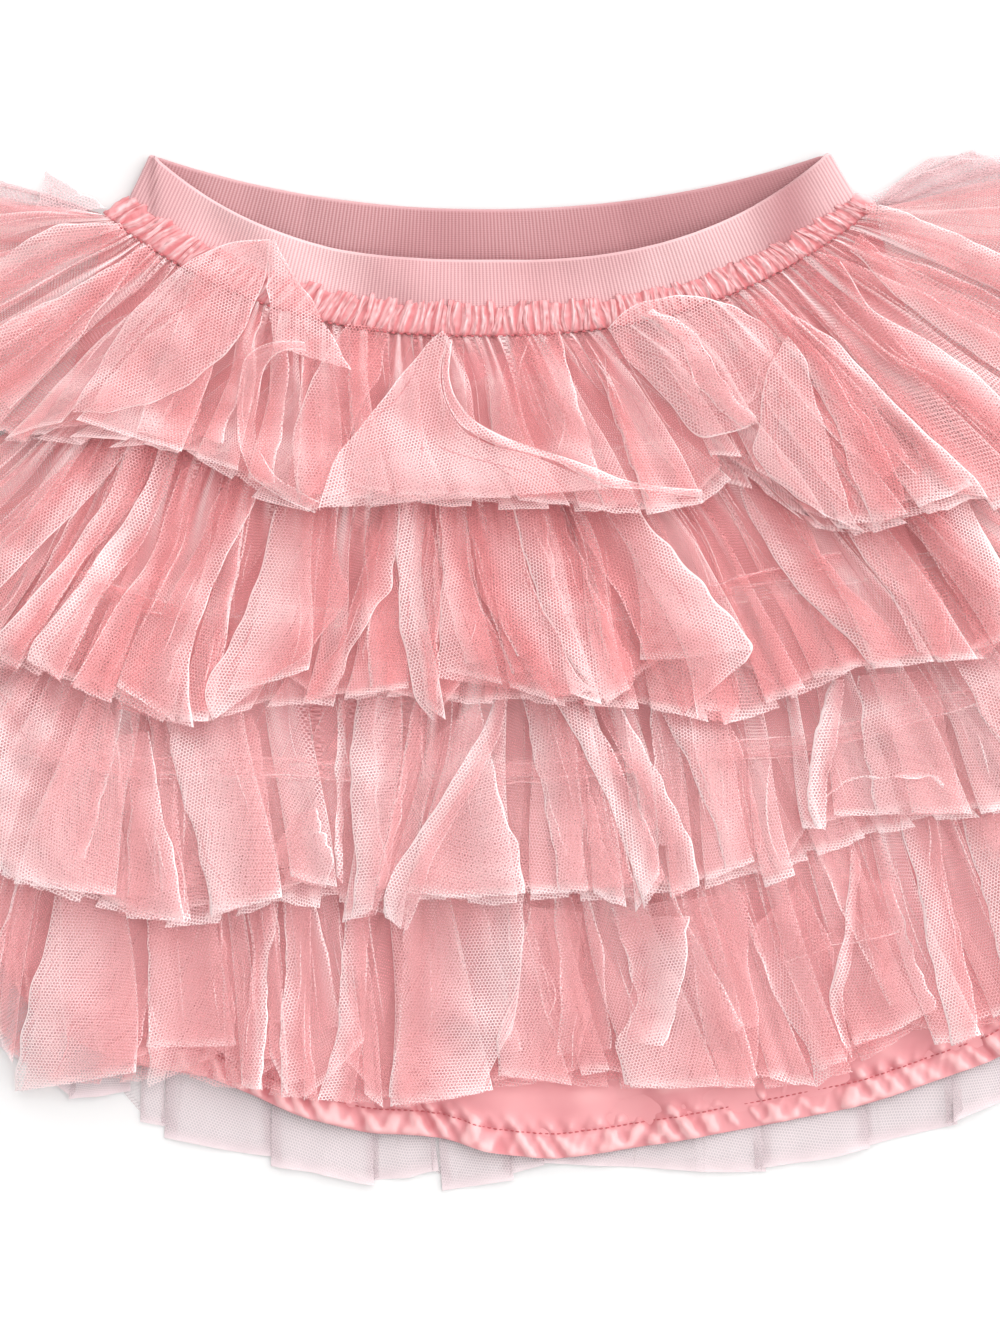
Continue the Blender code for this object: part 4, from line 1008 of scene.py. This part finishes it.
def elastic_material(name):
    m = Nodes(name)
    uv = m.new("ShaderNodeUVMap", uv_map="cloth").outputs[0]
    # Painted shade and light: 0 is a groove between two ribs in painted shade, 1 a rib in full light; the waistband
    # also paints broad light and shade into it.
    veil = m.attribute("veil")  # 0 in the groove between two ribs, 1 on a rib
    place = m.new("ShaderNodeTexCoord").outputs["Object"]
    tone = m.noise(place, 30.0, 2.0)
    low = m.mix(tone, srgb(168, 110, 114), srgb(178, 122, 126))
    high = m.mix(tone, srgb(222, 175, 178), srgb(230, 184, 187))
    # Where the strip has been stretched it is paler.
    broad = m.noise(place, 16.0, 1.0)
    # Broad pale patches of painted light, kept to the ribs.
    cloth = m.mix(veil, low, high)
    pale = m.math("MULTIPLY", m.ramp(broad, 0.4, 0.62, 0.0, 0.32), veil)
    m.link(m.mix(pale, cloth, srgb(255, 226, 226)), m.shader.inputs["Base Color"])
    knit = m.new("ShaderNodeTexWave", wave_type="BANDS", bands_direction="Y")
    knit.inputs["Scale"].default_value = 420.0
    knit.inputs["Distortion"].default_value = 2.0
    m.link(uv, knit.inputs["Vector"])
    bump = m.new("ShaderNodeBump")
    bump.inputs["Strength"].default_value = 0.5
    bump.inputs["Distance"].default_value = 0.00012
    m.link(knit.outputs["Fac"], bump.inputs["Height"])
    m.link(bump.outputs[0], m.shader.inputs["Normal"])
    m.link(m.ramp(tone, 0.3, 0.7, 0.68, 0.82), m.shader.inputs["Roughness"])
    m.set(Sheen_Weight=0.4, Sheen_Roughness=0.4, Sheen_Tint=(1.0, 0.9, 0.9, 1.0), Specular_IOR_Level=0.3)
    return m.material


def header_material(name):
    m = Nodes(name)
    uv = m.new("ShaderNodeUVMap", uv_map="cloth").outputs[0]
    # Painted light and shade: 0 is the painted shade between two gathers, 1 the painted light on a gather's crest.
    veil = m.attribute("veil")  # 0 between two gathers, 1 on a gather
    grain = m.noise(uv, 620.0, 3.0)
    low = m.mix(grain, srgb(210, 118, 122), srgb(222, 134, 138))
    high = m.mix(grain, srgb(251, 207, 209), srgb(255, 226, 227))
    m.link(m.mix(veil, low, high), m.shader.inputs["Base Color"])
    bump = m.new("ShaderNodeBump")
    bump.inputs["Strength"].default_value = 0.9
    bump.inputs["Distance"].default_value = 0.0004
    m.link(grain, bump.inputs["Height"])
    m.link(bump.outputs[0], m.shader.inputs["Normal"])
    m.link(m.ramp(grain, 0.3, 0.7, 0.85, 0.95), m.shader.inputs["Roughness"])
    m.set(Sheen_Weight=0.15, Sheen_Roughness=0.5, Sheen_Tint=(1.0, 0.9, 0.9, 1.0), Specular_IOR_Level=0.05)
    return m.material


def thread_material(name, colour):
    m = Nodes(name)
    place = m.new("ShaderNodeTexCoord").outputs["Object"]
    grain = m.noise(place, 1600.0, 1.0)
    m.link(m.mix(grain, colour, tuple(c * 0.7 for c in colour[:3]) + (1.0,)), m.shader.inputs["Base Color"])
    m.link(m.ramp(grain, 0.3, 0.7, 0.55, 0.75), m.shader.inputs["Roughness"])
    m.set(Sheen_Weight=0.2)
    return m.material


TULLE = net_material("tulle", srgb(241, 156, 158), srgb(255, 221, 222), srgb(255, 238, 238), 0.08, 0.72)
TULLE_LOW = net_material("tulle_low", srgb(245, 178, 180), srgb(255, 232, 233), srgb(255, 243, 243), 0.08, 0.72)
# The back's lowest net has greyer, darker colours than the front's: painted shade for the threads' own shadow.
TULLE_BACK = net_material("tulle_back", srgb(214, 196, 200), srgb(229, 212, 216), srgb(240, 222, 225), 0.27, 0.48, 1.0)
SATIN = satin_material("satin", srgb(240, 173, 176), srgb(228, 157, 161))
ELASTIC = elastic_material("elastic")
HEADER = header_material("gathers")
TULLE_TOP_BACK = net_material("tulle_top_back", srgb(238, 190, 194), srgb(244, 206, 209), srgb(255, 234, 235), 0.05, 0.6)
THREAD = thread_material("thread", srgb(206, 100, 106))


# ---------------------------------------------------------------- the pieces
ground = Ground()
made = {}


def tier(name, plies, material, folds=()):
    cloth = Cloth()
    sizes = []
    for settings in plies:
        sizes.append(ply(cloth, ground, **settings))
    for k, f in enumerate(folds):
        flap(cloth, ground, f, 700 + 10 * k, 40, 16)
    obj = cloth.make(name, material)
    made[name] = (obj, sizes)
    return obj, sizes


COLUMNS = 700
ROWS = 30

SEAM_RANGE_1 = (104, 876)
range_of = lambda table: (table[0][0] / UNIT + 500, table[-1][0] / UNIT + 500)
SEAM_RANGE_2, SEAM_RANGE_3, SEAM_RANGE_4 = range_of(SEAM_2), range_of(SEAM_3), range_of(SEAM_4)
ENDS_1 = ((-104, 178), (1070, 172))
ENDS_2 = ((-112, 486), (1108, 478))
ENDS_3 = ((-130, 690), (1128, 660))
ENDS_4 = ((-120, 840), (1130, 828))
ENDS_1_BACK = ((-106, 196), (1062, 190))

# The back's tiers lie on the floor, the top one lowest.
back = dict(gap=0.25, arch=0.3, gather=0.25, wander=1.0, most=1.8)
tier("tier_1_back", [dict(
    panels=TIER_1_BACK, ends=ENDS_1_BACK, seam_range=SEAM_RANGE_1, seam_place=header_seam(BACK_HEADER),
    columns=420, rows=22, seed=11, wrinkles=10, **back)], TULLE_TOP_BACK, folds=TIPS)
tier("tier_2_back", [dict(
    panels=panels_from(TIER_2_BACK, 12, SEAM_RANGE_2, rise=(0.8, 1.6)), ends=ENDS_2, seam_range=SEAM_RANGE_2,
    seam_place=table_seam(SEAM_2), columns=340, rows=16, seed=12, wrinkles=10, **back)], TULLE_TOP_BACK)
tier("tier_3_back", [dict(
    panels=panels_from(TIER_3_BACK, 13, SEAM_RANGE_3, rise=(0.8, 1.6)), ends=ENDS_3, seam_range=SEAM_RANGE_3,
    seam_place=table_seam(SEAM_3), columns=340, rows=16, seed=13, wrinkles=10, **back)], TULLE_TOP_BACK)
tier("tier_4_back", [
    dict(panels=TIER_4_BACK, ends=((-124, 868), (1132, 918)), seam_range=SEAM_RANGE_4, seam_place=table_seam(SEAM_4),
         columns=560, rows=30, seed=14, wrinkles=16, **back),
], TULLE_BACK)


def lining(name, front):
    """The satin lining's front or back, with its turned hem."""
    n, rows = (800, 40) if front else (240, 18)
    hem = curve(at(LINING_HEM), n, 8.0)
    u = np.linspace(0, 1, n)
    edge, above = (FRONT_HEADER, FRONT_JOIN) if front else (BACK_HEADER, BACK_JOIN)
    share = 0.004 + 0.992 * (0.5 + 0.5 * np.sign(2 * u - 1) * np.abs(2 * u - 1) ** 0.9)
    start = edge_point(edge, share)
    if not front:
        hem = hem + np.array([0, 3.0])
    start = start + np.array([0, -0.6])
    run = hem - start
    depth = np.linalg.norm(run, axis=1)
    down = run / depth[:, None]
    if front:
        d_hem = np.concatenate([np.linspace(0, 0.9, rows - 26), 1 - np.linspace(0.1, 0, 26)])
    else:
        d_hem = np.linspace(0, 1, rows)
    v = d_hem
    plan = start[:, None, :] + run[:, None, :] * v[None, :, None]
    from_hem = (1 - v)[None, :] * depth[:, None]
    s = np.concatenate([[0], np.cumsum(np.linalg.norm(np.diff(hem, axis=0), axis=1))])
    base = ground.felt(plan[..., 0], plan[..., 1]) + 0.6
    z = base.copy()
    long_waves = Noise(31 if front else 32, 26, 110)
    z += (0.9 if front else 0.3) * (long_waves(s[:, None], from_hem * 0.35) + 1)
    if front:
        lean = s[:, None] + 0.55 * from_hem
        pucker = Noise(33, 5.0, 15)(lean, from_hem * 0.3) + 0.5 * Noise(34, 3.4, 8)(s[:, None] - 0.4 * from_hem, from_hem * 0.3)
        band = smooth((HEM_TURN + 0.6 - from_hem) / 1.0)
        z += band * 0.45
        z += 0.8 * pucker * smooth((HEM_TURN + 7 - from_hem) / 7.0) * smooth(from_hem / 2.0 + 0.35)
        # soft upright wrinkles above the hem
        for k in range(26):
            r = np.random.default_rng(400 + k)
            s0, wide = r.uniform(0, s[-1]), r.uniform(2.5, 6.0)
            reach = r.uniform(14, 40)
            z += r.uniform(0.4, 1.3) * np.exp(-(((s[:, None] - s0 - 0.1 * from_hem) / wide) ** 2)) * smooth(1 - from_hem / reach)
        # the seam's groove, where the hem is stitched
        z -= 0.8 * np.exp(-(((from_hem - HEM_TURN) / 0.7) ** 2))
        # the turned edge rounds over
        z -= 0.7 * smooth((0.9 - from_hem) / 0.9)
        # one place where the hem has been folded over itself
        z += 2.2 * np.exp(-(((plan[..., 0] + 14 - 0.7 * (HEM_TURN - from_hem)) / 5.5) ** 2)) * smooth((22 - from_hem) / 18)
    z = np.maximum(z, ground.felt(plan[..., 0], plan[..., 1]) + 0.3)
    grid = np.concatenate([plan, z[..., None]], axis=-1)
    place = np.stack([np.broadcast_to(s[:, None], z.shape), from_hem], axis=-1)
    cloth = Cloth()
    # Painted shade and highlight: points below their smoothed surroundings get painted shade, points above them a
    # painted highlight; the back's lining gets one even middle value.
    crest = z - gaussian(gaussian(z, 6.0).T, 2.5).T
    shade = np.clip(0.6 + 0.5 * crest, 0, 1) if front else 0.6
    cloth.add(grid, place, shade)
    # the cloth's thickness, seen at the hem, and the turned layer behind it
    turned = 12 if front else 3
    under = grid[:, -turned:, :].copy()
    under[..., 2] -= 0.55
    under[:, -1, :] = grid[:, -1, :]
    cloth.add(under[:, ::-1, :], place[:, -turned:, :][:, ::-1, :], 0.5)
    obj = cloth.make(name, SATIN)
    ground.press(grid.reshape(-1, 3))
    return obj, grid, s, depth, from_hem


lining_back, back_grid, back_s, back_depth, _ = lining("lining_back", False)
lining_front, lining_grid, lining_s, lining_depth, lining_from = lining("lining_front", True)


def capsules(centres, directions, ups, length, wide, high):
    """Small rounded stitches as one mesh."""
    t = np.array([-0.5, -0.36, 0.0, 0.36, 0.5])
    fat = np.array([0.25, 0.8, 1.0, 0.8, 0.25])
    ring = np.array([[math.cos(a), math.sin(a)] for a in np.linspace(0, 2 * math.pi, 6, endpoint=False)])
    points, faces = [], []
    side = np.cross(ups, directions)
    for c, d, s, n in zip(centres, directions, side, ups):
        start = len(points)
        for k in range(5):
            for a in ring:
                points.append(c + d * (t[k] * length) + s * (a[0] * wide / 2 * fat[k]) + n * (a[1] * high / 2 * fat[k]))
        for k in range(4):
            for j in range(6):
                a, b = start + k * 6 + j, start + k * 6 + (j + 1) % 6
                faces.append((a, b, b + 6, a + 6))
        faces.append((start, start + 5, start + 4, start + 3))
        faces.append((start, start + 3, start + 2, start + 1))
        e = start + 24
        faces.append((e, e + 1, e + 2, e + 3))
        faces.append((e, e + 3, e + 4, e + 5))
    return np.array(points), np.array(faces)


def stitch_row(name, line, pitch, length, wide, high, lift, material):
    """Stitches along a line of points in space."""
    d = np.concatenate([[0], np.cumsum(np.linalg.norm(np.diff(line, axis=0), axis=1))])
    s = np.arange(pitch / 2, d[-1] - pitch / 2, pitch)
    c = np.column_stack([np.interp(s, d, line[:, k]) for k in range(3)])
    e = np.column_stack([np.interp(s + 0.3, d, line[:, k]) for k in range(3)])
    direction = e - c
    direction /= np.maximum(np.linalg.norm(direction, axis=1, keepdims=True), 1e-9)
    ups = np.tile([0.0, 0.0, 1.0], (len(c), 1))
    c = c + ups * lift
    points, faces = capsules(c, direction, ups, length, wide, high)
    cloth = Cloth()
    cloth.add_faces(points, faces)
    return cloth.make(name, material)


# The hem's stitches lie in their groove.
row = []
for i in range(lining_grid.shape[0]):
    order = np.argsort(lining_from[i])
    row.append([np.interp(HEM_TURN, lining_from[i][order], lining_grid[i, order, c]) for c in range(3)])
hem_stitches = stitch_row("hem_stitches", np.array(row), STITCH_PITCH, 1.5, 0.55, 0.4, 0.2, THREAD)

# The front's tiers, from the bottom one up.
front = dict(columns=COLUMNS, rows=ROWS)
for name, panels, hem, ends, seam_range, seam, seed, arch, folds in (
    ("tier_4_front", TIER_4, TIER_4_UNDER, ENDS_4, SEAM_RANGE_4, table_seam(SEAM_4), 40, 2.4, FOLDS_4),
    ("tier_3_front", TIER_3, TIER_3_UNDER, ENDS_3, SEAM_RANGE_3, table_seam(SEAM_3), 50, 2.4, FOLDS_3),
    ("tier_2_front", TIER_2, TIER_2_UNDER, ENDS_2, SEAM_RANGE_2, table_seam(SEAM_2), 60, 2.8, FOLDS_2),
    ("tier_1_front", TIER_1, TIER_1_UNDER, ENDS_1, SEAM_RANGE_1, header_seam(FRONT_HEADER), 70, 3.2, FOLDS_1),
):
    net = TULLE if seed > 55 else TULLE_LOW
    tier(name + "_under", [dict(
        panels=panels_from(hem, seed, seam_range), ends=ends, seam_range=seam_range, seam_place=seam,
        seed=seed + 5, arch=arch * 0.4, gather=0.6, wrinkles=8, strips=40, doubled=0.1, veil={40: 0.45, 70: 1.0}.get(seed, 0.8),
        heading=0.0 if name == "tier_1_front" else BAND_ABOVE_SEAM, columns=520, rows=26)], net)
    cloth = Cloth()
    sizes = [ply(cloth, ground, panels=panels, ends=ends, seam_range=seam_range, seam_place=seam, seed=seed,
                 arch=arch, gather=1.2, wrinkles=10, strips=110, doubled=0.25, veil=0.68 if seed == 40 else 0.78,
                 ruched=0.8, **front)]
    if name == "tier_1_front":
        us = np.linspace(0.02, 0.98, 400)
        seam_line = edge_point(FRONT_HEADER, us) - np.array([0, 0.35])
        high = FRONT_HALF_Z + FRONT_HALF_LIFT * (1 - np.abs(2 * us - 1) ** 8) + 1.3
        seam_line = np.column_stack([seam_line, np.maximum(high, ground.felt(seam_line[:, 0], seam_line[:, 1]) + 0.15)])
    for k, f in enumerate(soft_folds(panels, seam, seed + 2, 22)):
        flap(cloth, ground, f, 100 * seed + 10 * k + 5000, 30, 12, fade=0.9)
    for k, f in enumerate(folds):
        flap(cloth, ground, f, 100 * seed + 10 * k, 56, 20, fade=0.55)
    if name == "tier_1_front":
        # The loops also lie over the header and the band's edge.
        for t in np.linspace(0, 1, 16):
            over = edge_point(FRONT_TOP, us) * (1 - t) + edge_point(FRONT_HEADER, us) * t
            rise = 1.9 if t < 0.72 else 2.4
            ground.press(np.column_stack([over, high - 1.3 + rise]))
        for k, f in enumerate(TIER_1_FLAPS):
            flap(cloth, ground, f, 900 + 10 * k)
    made[name] = (cloth.make(name, net), sizes)


# ------------------------------------------------- the elastic and the header
def loop_stations(upper, lower, count):
    """Places once round the flattened loop: the strip's two edges, the height of its middle and its outward normal."""
    radius = (FRONT_HALF_Z - BACK_HALF_Z) / 2
    middle = (FRONT_HALF_Z + BACK_HALF_Z) / 2
    a, b, z, normal = [], [], [], []

    def half(side, order):
        for u in order:
            lift = FRONT_HALF_LIFT * (1 - abs(2 * u - 1) ** 8) if side == 0 else 0.0
            a.append(upper[side](u))
            b.append(lower[side](u))
            z.append((FRONT_HALF_Z if side == 0 else BACK_HALF_Z) + lift)
            normal.append((0, 0, 1.0 if side == 0 else -1.0))

    def turn(u, sign, start):
        p, q = upper[0](u), lower[0](u)
        way = (q - p) / np.linalg.norm(q - p)
        out = np.array([-way[1], way[0]])
        if out[0] * sign < 0:
            out = -out
        for step in range(9):
            angle = math.radians(start * (90 - 22.5 * step))
            inward = -radius + radius * math.cos(angle)
            a.append(p + out * inward)
            b.append(q + out * inward)
            z.append(middle + radius * math.sin(angle))
            normal.append((out[0] * math.cos(angle), out[1] * math.cos(angle), math.sin(angle)))

    us = np.linspace(0.013, 0.987, count)
    half(0, us)
    turn(1.0, 1, 1)
    half(1, us[::-1])
    turn(0.0, -1, -1)
    close = lambda v: np.array(v + v[:1], float)
    return close(a), close(b), close(z), close(normal)


def resampled(a, b, z, normal, columns):
    mid = np.column_stack([(a + b) / 2, z])
    d = np.concatenate([[0], np.cumsum(np.linalg.norm(np.diff(mid, axis=0), axis=1))])
    s = np.linspace(0, d[-1], columns, endpoint=False)
    pick = lambda v: np.column_stack([np.interp(s, d, v[:, c]) for c in range(v.shape[1])])
    n = pick(normal)
    n /= np.maximum(np.linalg.norm(n, axis=1, keepdims=True), 1e-9)
    return pick(a), pick(b), np.interp(s, d, z), n, s, d[-1]


def waistband():
    upper = (lambda u: edge_point(FRONT_TOP, u), lambda u: edge_point(BACK_TOP, u))
    lower = (lambda u: edge_point(FRONT_JOIN, u), lambda u: edge_point(BACK_JOIN, u))
    a, b, z, normal = loop_stations(upper, lower, 160)
    a, b, z, n, s, total = resampled(a, b, z, normal, 10)
    ribs = round(total / RIB_PITCH)
    columns = ribs * 4
    a, b, z, n, s, total = resampled(*loop_stations(upper, lower, 160), columns)
    rib = 0.5 + 0.5 * np.cos(2 * math.pi * ribs * s / total)
    # the strip's cross-section: outer face from top edge to bottom edge, then the inner face back up
    t = np.array([0.0, 0.01, 0.035, 0.07, 0.25, 0.5, 0.75, 0.93, 0.985, 1.0])
    half = BAND_WALL / 2
    bead = np.array([0.0, 0.55, 1.0, 1.05, 0.94, 0.92, 0.93, 1.0, 0.75, 0.0])
    soft = Noise(81, 26, 90)
    wave = Noise(82, 9, 30)
    rows = []
    veils = []
    places = []
    for face in (1, -1):
        order = range(len(t)) if face > 0 else range(len(t) - 2, 0, -1)
        for k in order:
            p = a + (b - a) * t[k]
            ribbed = rib * (0.25 if k in (0, 1, 2) else 1.0)
            out = face * (half * bead[k] - RIB_DEPTH * (1 - ribbed) * (bead[k] > 0.5))
            lift = 2.3 * soft(p[:, 0], p[:, 1] * 0.4) * (0.55 + 0.45 * math.cos(math.pi * (t[k] - 0.4))) * smooth((1.02 - t[k]) / 0.4) + 0.2 * wave(s, t[k] * 20)
            keep = np.abs(n[:, 2]) * smooth((np.abs(p[:, 0] + 4.5) < 118) * 1.0)
            lift = np.where(n[:, 2] < 0, 0.25 * np.abs(lift), lift)
            point = np.column_stack([p, z + lift * keep]) + n * out[:, None]
            rows.append(point)
            # the inner face lies in the shade of the opening, and more so towards the right
            shade = 1.0 if face > 0 else 0.42 - 0.3 * smooth((p[:, 0] - 10) / 90)
            if face > 0:
                ribbed = 0.3 + 0.7 * ribbed
                # Broad bands of painted light and shade across the outer face.
                for x, wide, more in ((100, 11, -0.8), (122, 7, 0.1), (50, 14, 0.12), (12, 9, -0.12), (-36, 11, -0.14), (-82, 13, 0.1), (-112, 9, -0.12)):
                    shade = shade + more * np.exp(-(((p[:, 0] - x) / wide) ** 2))
            # The grooves between the ribs are painted in shade, except near the top edge.
            veils.append(np.clip(ribbed + (0.9 if k in (0, 1, 2) else 0.0), 0, 1) * shade)
            places.append(np.column_stack([s, np.full(len(s), t[k] * 20 + (25 if face < 0 else 0))]))
    rows.append(rows[0])
    veils.append(veils[0])
    places.append(places[0])
    cloth = Cloth()
    cloth.add(np.stack(rows, axis=1), np.stack(places, axis=1), np.stack(veils, axis=1), close=True)
    obj = cloth.make("waistband", ELASTIC, weld=True)
    return obj, total


def gathered_header():
    upper = (lambda u: edge_point(FRONT_JOIN, u), lambda u: edge_point(BACK_JOIN, u))
    lower = (lambda u: edge_point(FRONT_HEADER, u), lambda u: edge_point(BACK_HEADER, u))
    _, _, _, _, _, total = resampled(*loop_stations(upper, lower, 160), 10)
    puffs = round(total / PUFF_PITCH)
    a, b, z, n, s, total = resampled(*loop_stations(upper, lower, 160), puffs * 11)
    r = np.random.default_rng(83)
    where = s / total * puffs + 0.8 * Noise(84, 10, 40)(s)
    phase = where % 1.0
    which = np.floor(where).astype(int) % puffs
    size = r.uniform(0.55, 1.25, puffs)[which]
    tilt = r.uniform(-1.5, 1.5, puffs)[which]
    bend = r.uniform(-0.9, 0.9, puffs)[which]
    facing = smooth((n[:, 2] + 0.2) / 0.4)  # 1 on the front half, 0 on the back one
    reach = r.uniform(-2.6, 0.2, puffs)[which]
    folds = r.integers(2, 4, puffs)[which]
    ridge = 0.5 + 0.5 * np.cos(2 * math.pi * phase * folds + r.uniform(0, 6.28, puffs)[which])
    puff = np.sin(math.pi * phase) ** 0.55 * (0.62 + 0.38 * ridge)
    crinkle = Noise(85, 1.4, 5)
    t = np.array([0.0, 0.06, 0.18, 0.32, 0.48, 0.64, 0.8, 0.92, 1.0])
    swell = np.array([0.35, 0.6, 0.9, 1.05, 1.0, 0.85, 0.6, 0.28, 0.05])
    rows, veils, places = [], [], []
    for face in (1, -1):
        order = range(len(t)) if face > 0 else range(len(t) - 1, -1, -1)
        for k in order:
            over = 0.14 * (k == 0) + 0.05 * (k == 1) - reach * 0.13 * (1 - t[k])
            p = a + (b - a) * (t[k] - over * facing)[:, None]
            slide = (tilt * (t[k] - 0.5) + bend * math.sin(math.pi * t[k]))[:, None]
            way = np.gradient((a + b) / 2, axis=0)
            way /= np.maximum(np.linalg.norm(way, axis=1, keepdims=True), 1e-9)
            p = p + way * slide
            grow = puff * size * swell[k] * (1.7 if face > 0 else 0.6)
            out = face * (HEADER_WALL / 2 * (0.75 if k in (0, 8) else 1.0)) + face * grow + (0.5 if face > 0 and k < 2 else 0.0)
            point = np.column_stack([p, z]) + n * out[:, None]
            point[:, 2] = np.maximum(point[:, 2], 0.15)
            point = point + n * (0.5 * crinkle(s * 1.6, t[k] * 14 + 90 * face) * puff)[:, None]
            rows.append(point)
            # Painted light and shade: each puff is painted paler on its crest and on bigger puffs, darker between puffs
            # and towards the strip's edges; the crinkle tone varies it at random.
            tone = 0.82 + 0.3 * crinkle(s * 1.1 + 40, t[k] * 12)
            veils.append(np.clip(puff**1.3 * (0.4 + 0.6 * swell[k]) * (0.7 + 0.45 * size / 1.25) * tone, 0, 1))
            places.append(np.column_stack([s * 2, np.full(len(s), t[k] * 8 + (12 if face < 0 else 0))]))
    rows.append(rows[0])
    veils.append(veils[0])
    places.append(places[0])
    cloth = Cloth()
    cloth.add(np.stack(rows, axis=1), np.stack(places, axis=1), np.stack(veils, axis=1), close=True)
    obj = cloth.make("gathered_header", HEADER, weld=True)
    return obj, total


band, band_length = waistband()
header, header_length = gathered_header()
# stitches where the header is sewn down, on the front
header_stitches = stitch_row("header_stitches", seam_line, 2.8, 1.35, 0.8, 0.6, 0.0, THREAD)

# -------------------------------------------------------- the CAD parts hidden, and each tier's flat size
for node in ("tier_1_back", "tier_2_back", "tier_3_back", "tier_4_back"):
    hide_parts(node)
for node in ("tier_1_front", "tier_2_front", "tier_3_front", "tier_4_front"):
    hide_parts(node)
    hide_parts(node)
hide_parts("lining_back")
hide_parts("lining_front")
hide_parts("waistband")
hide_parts("gathered_header")

rests = {"tier_4_front": "lining_front", "tier_3_front": "tier_4_front", "tier_2_front": "tier_3_front",
         "tier_1_front": "tier_2_front"}
for name, (obj, sizes) in made.items():
    length, long, cut = sizes[0]
    width = float(length) * MM
    on = [rests[name.replace("_under", "")]] if "front" in name else []
    depth = (long + (BAND_ABOVE_SEAM if "under" in name and "tier_1" not in name else 0)) * MM
    # The strip is flared: its gathered top edge is shorter than its hem.
    cut = min(1.0, max(0.3, cut * MM * MM / (width * long * MM))) * width * depth

world = bpy.data.worlds.new("studio")
bpy.context.scene.world = world
world.use_nodes = True
sky = world.node_tree.nodes["Background"]
world.cycles.sampling_method = "NONE"
# A white tent, brighter towards the upper right, as from one large soft box.
nodes, links = world.node_tree.nodes, world.node_tree.links
direction = nodes.new("ShaderNodeTexCoord").outputs["Generated"]
towards = nodes.new("ShaderNodeVectorMath")
towards.operation = "DOT_PRODUCT"
links.new(direction, towards.inputs[0])
towards.inputs[1].default_value = tuple(Vector((0.62, 0.5, 0.6)).normalized())
lobe = nodes.new("ShaderNodeMapRange")
lobe.interpolation_type = "SMOOTHSTEP"
for n, value in ((1, 0.1), (2, 1.0), (3, SKY_BASE), (4, SKY_BASE + SKY_GAIN)):
    lobe.inputs[n].default_value = value
links.new(towards.outputs["Value"], lobe.inputs[0])
links.new(lobe.outputs[0], sky.inputs["Strength"])
sky.inputs["Color"].default_value = (1.0, 0.988, 0.984, 1.0)

# --------------------------------------------------------------------- floor
floor_mesh = bpy.data.meshes.new("floor")
floor_mesh.from_pydata([(-3, -3, 0), (3, -3, 0), (3, 3, 0), (-3, 3, 0)], [], [(0, 1, 2, 3)])
floor = bpy.data.objects.new("floor", floor_mesh)
bpy.context.scene.collection.objects.link(floor)
paper = Nodes("floor")
where = paper.new("ShaderNodeTexCoord").outputs["Object"]
paper.link(paper.mix(paper.noise(where, 3.0), srgb(228, 228, 228), srgb(230, 230, 230)), paper.shader.inputs["Base Color"])
paper.set(Roughness=0.9, Specular_IOR_Level=0.1)
floor_mesh.materials.append(paper.material)

# -------------------------------------------------------------------- camera
camera_data = bpy.data.cameras.new("camera")
camera = bpy.data.objects.new("camera", camera_data)
bpy.context.scene.collection.objects.link(camera)
DISTANCE = 1.6
VIEW_HEIGHT = 1333 * UNIT * MM
camera_data.sensor_fit = "VERTICAL"
camera_data.sensor_height = 36.0
camera_data.lens = 36.0 * DISTANCE / VIEW_HEIGHT
camera_data.clip_start, camera_data.clip_end = 0.05, 10.0
centre = at([(500, 666.5)])[0] * MM
camera.location = (centre[0], centre[1], DISTANCE + 0.012)
camera.rotation_euler = (0, 0, 0)
bpy.context.scene.camera = camera

scene = bpy.context.scene
scene.view_settings.view_transform = "Standard"
scene.view_settings.look = "None"
scene.cycles.transparent_max_bounces = 48
scene.cycles.max_bounces = 4
scene.cycles.diffuse_bounces = 3
scene.cycles.use_adaptive_sampling = True
scene.cycles.adaptive_threshold = 0.03
scene.cycles.use_light_tree = False
scene.cycles.glossy_bounces = 2
scene.cycles.transmission_bounces = 2

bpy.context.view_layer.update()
print("triangles", {o.name: 2 * len(o.data.polygons) for o in bpy.data.objects if o.type == "MESH"})
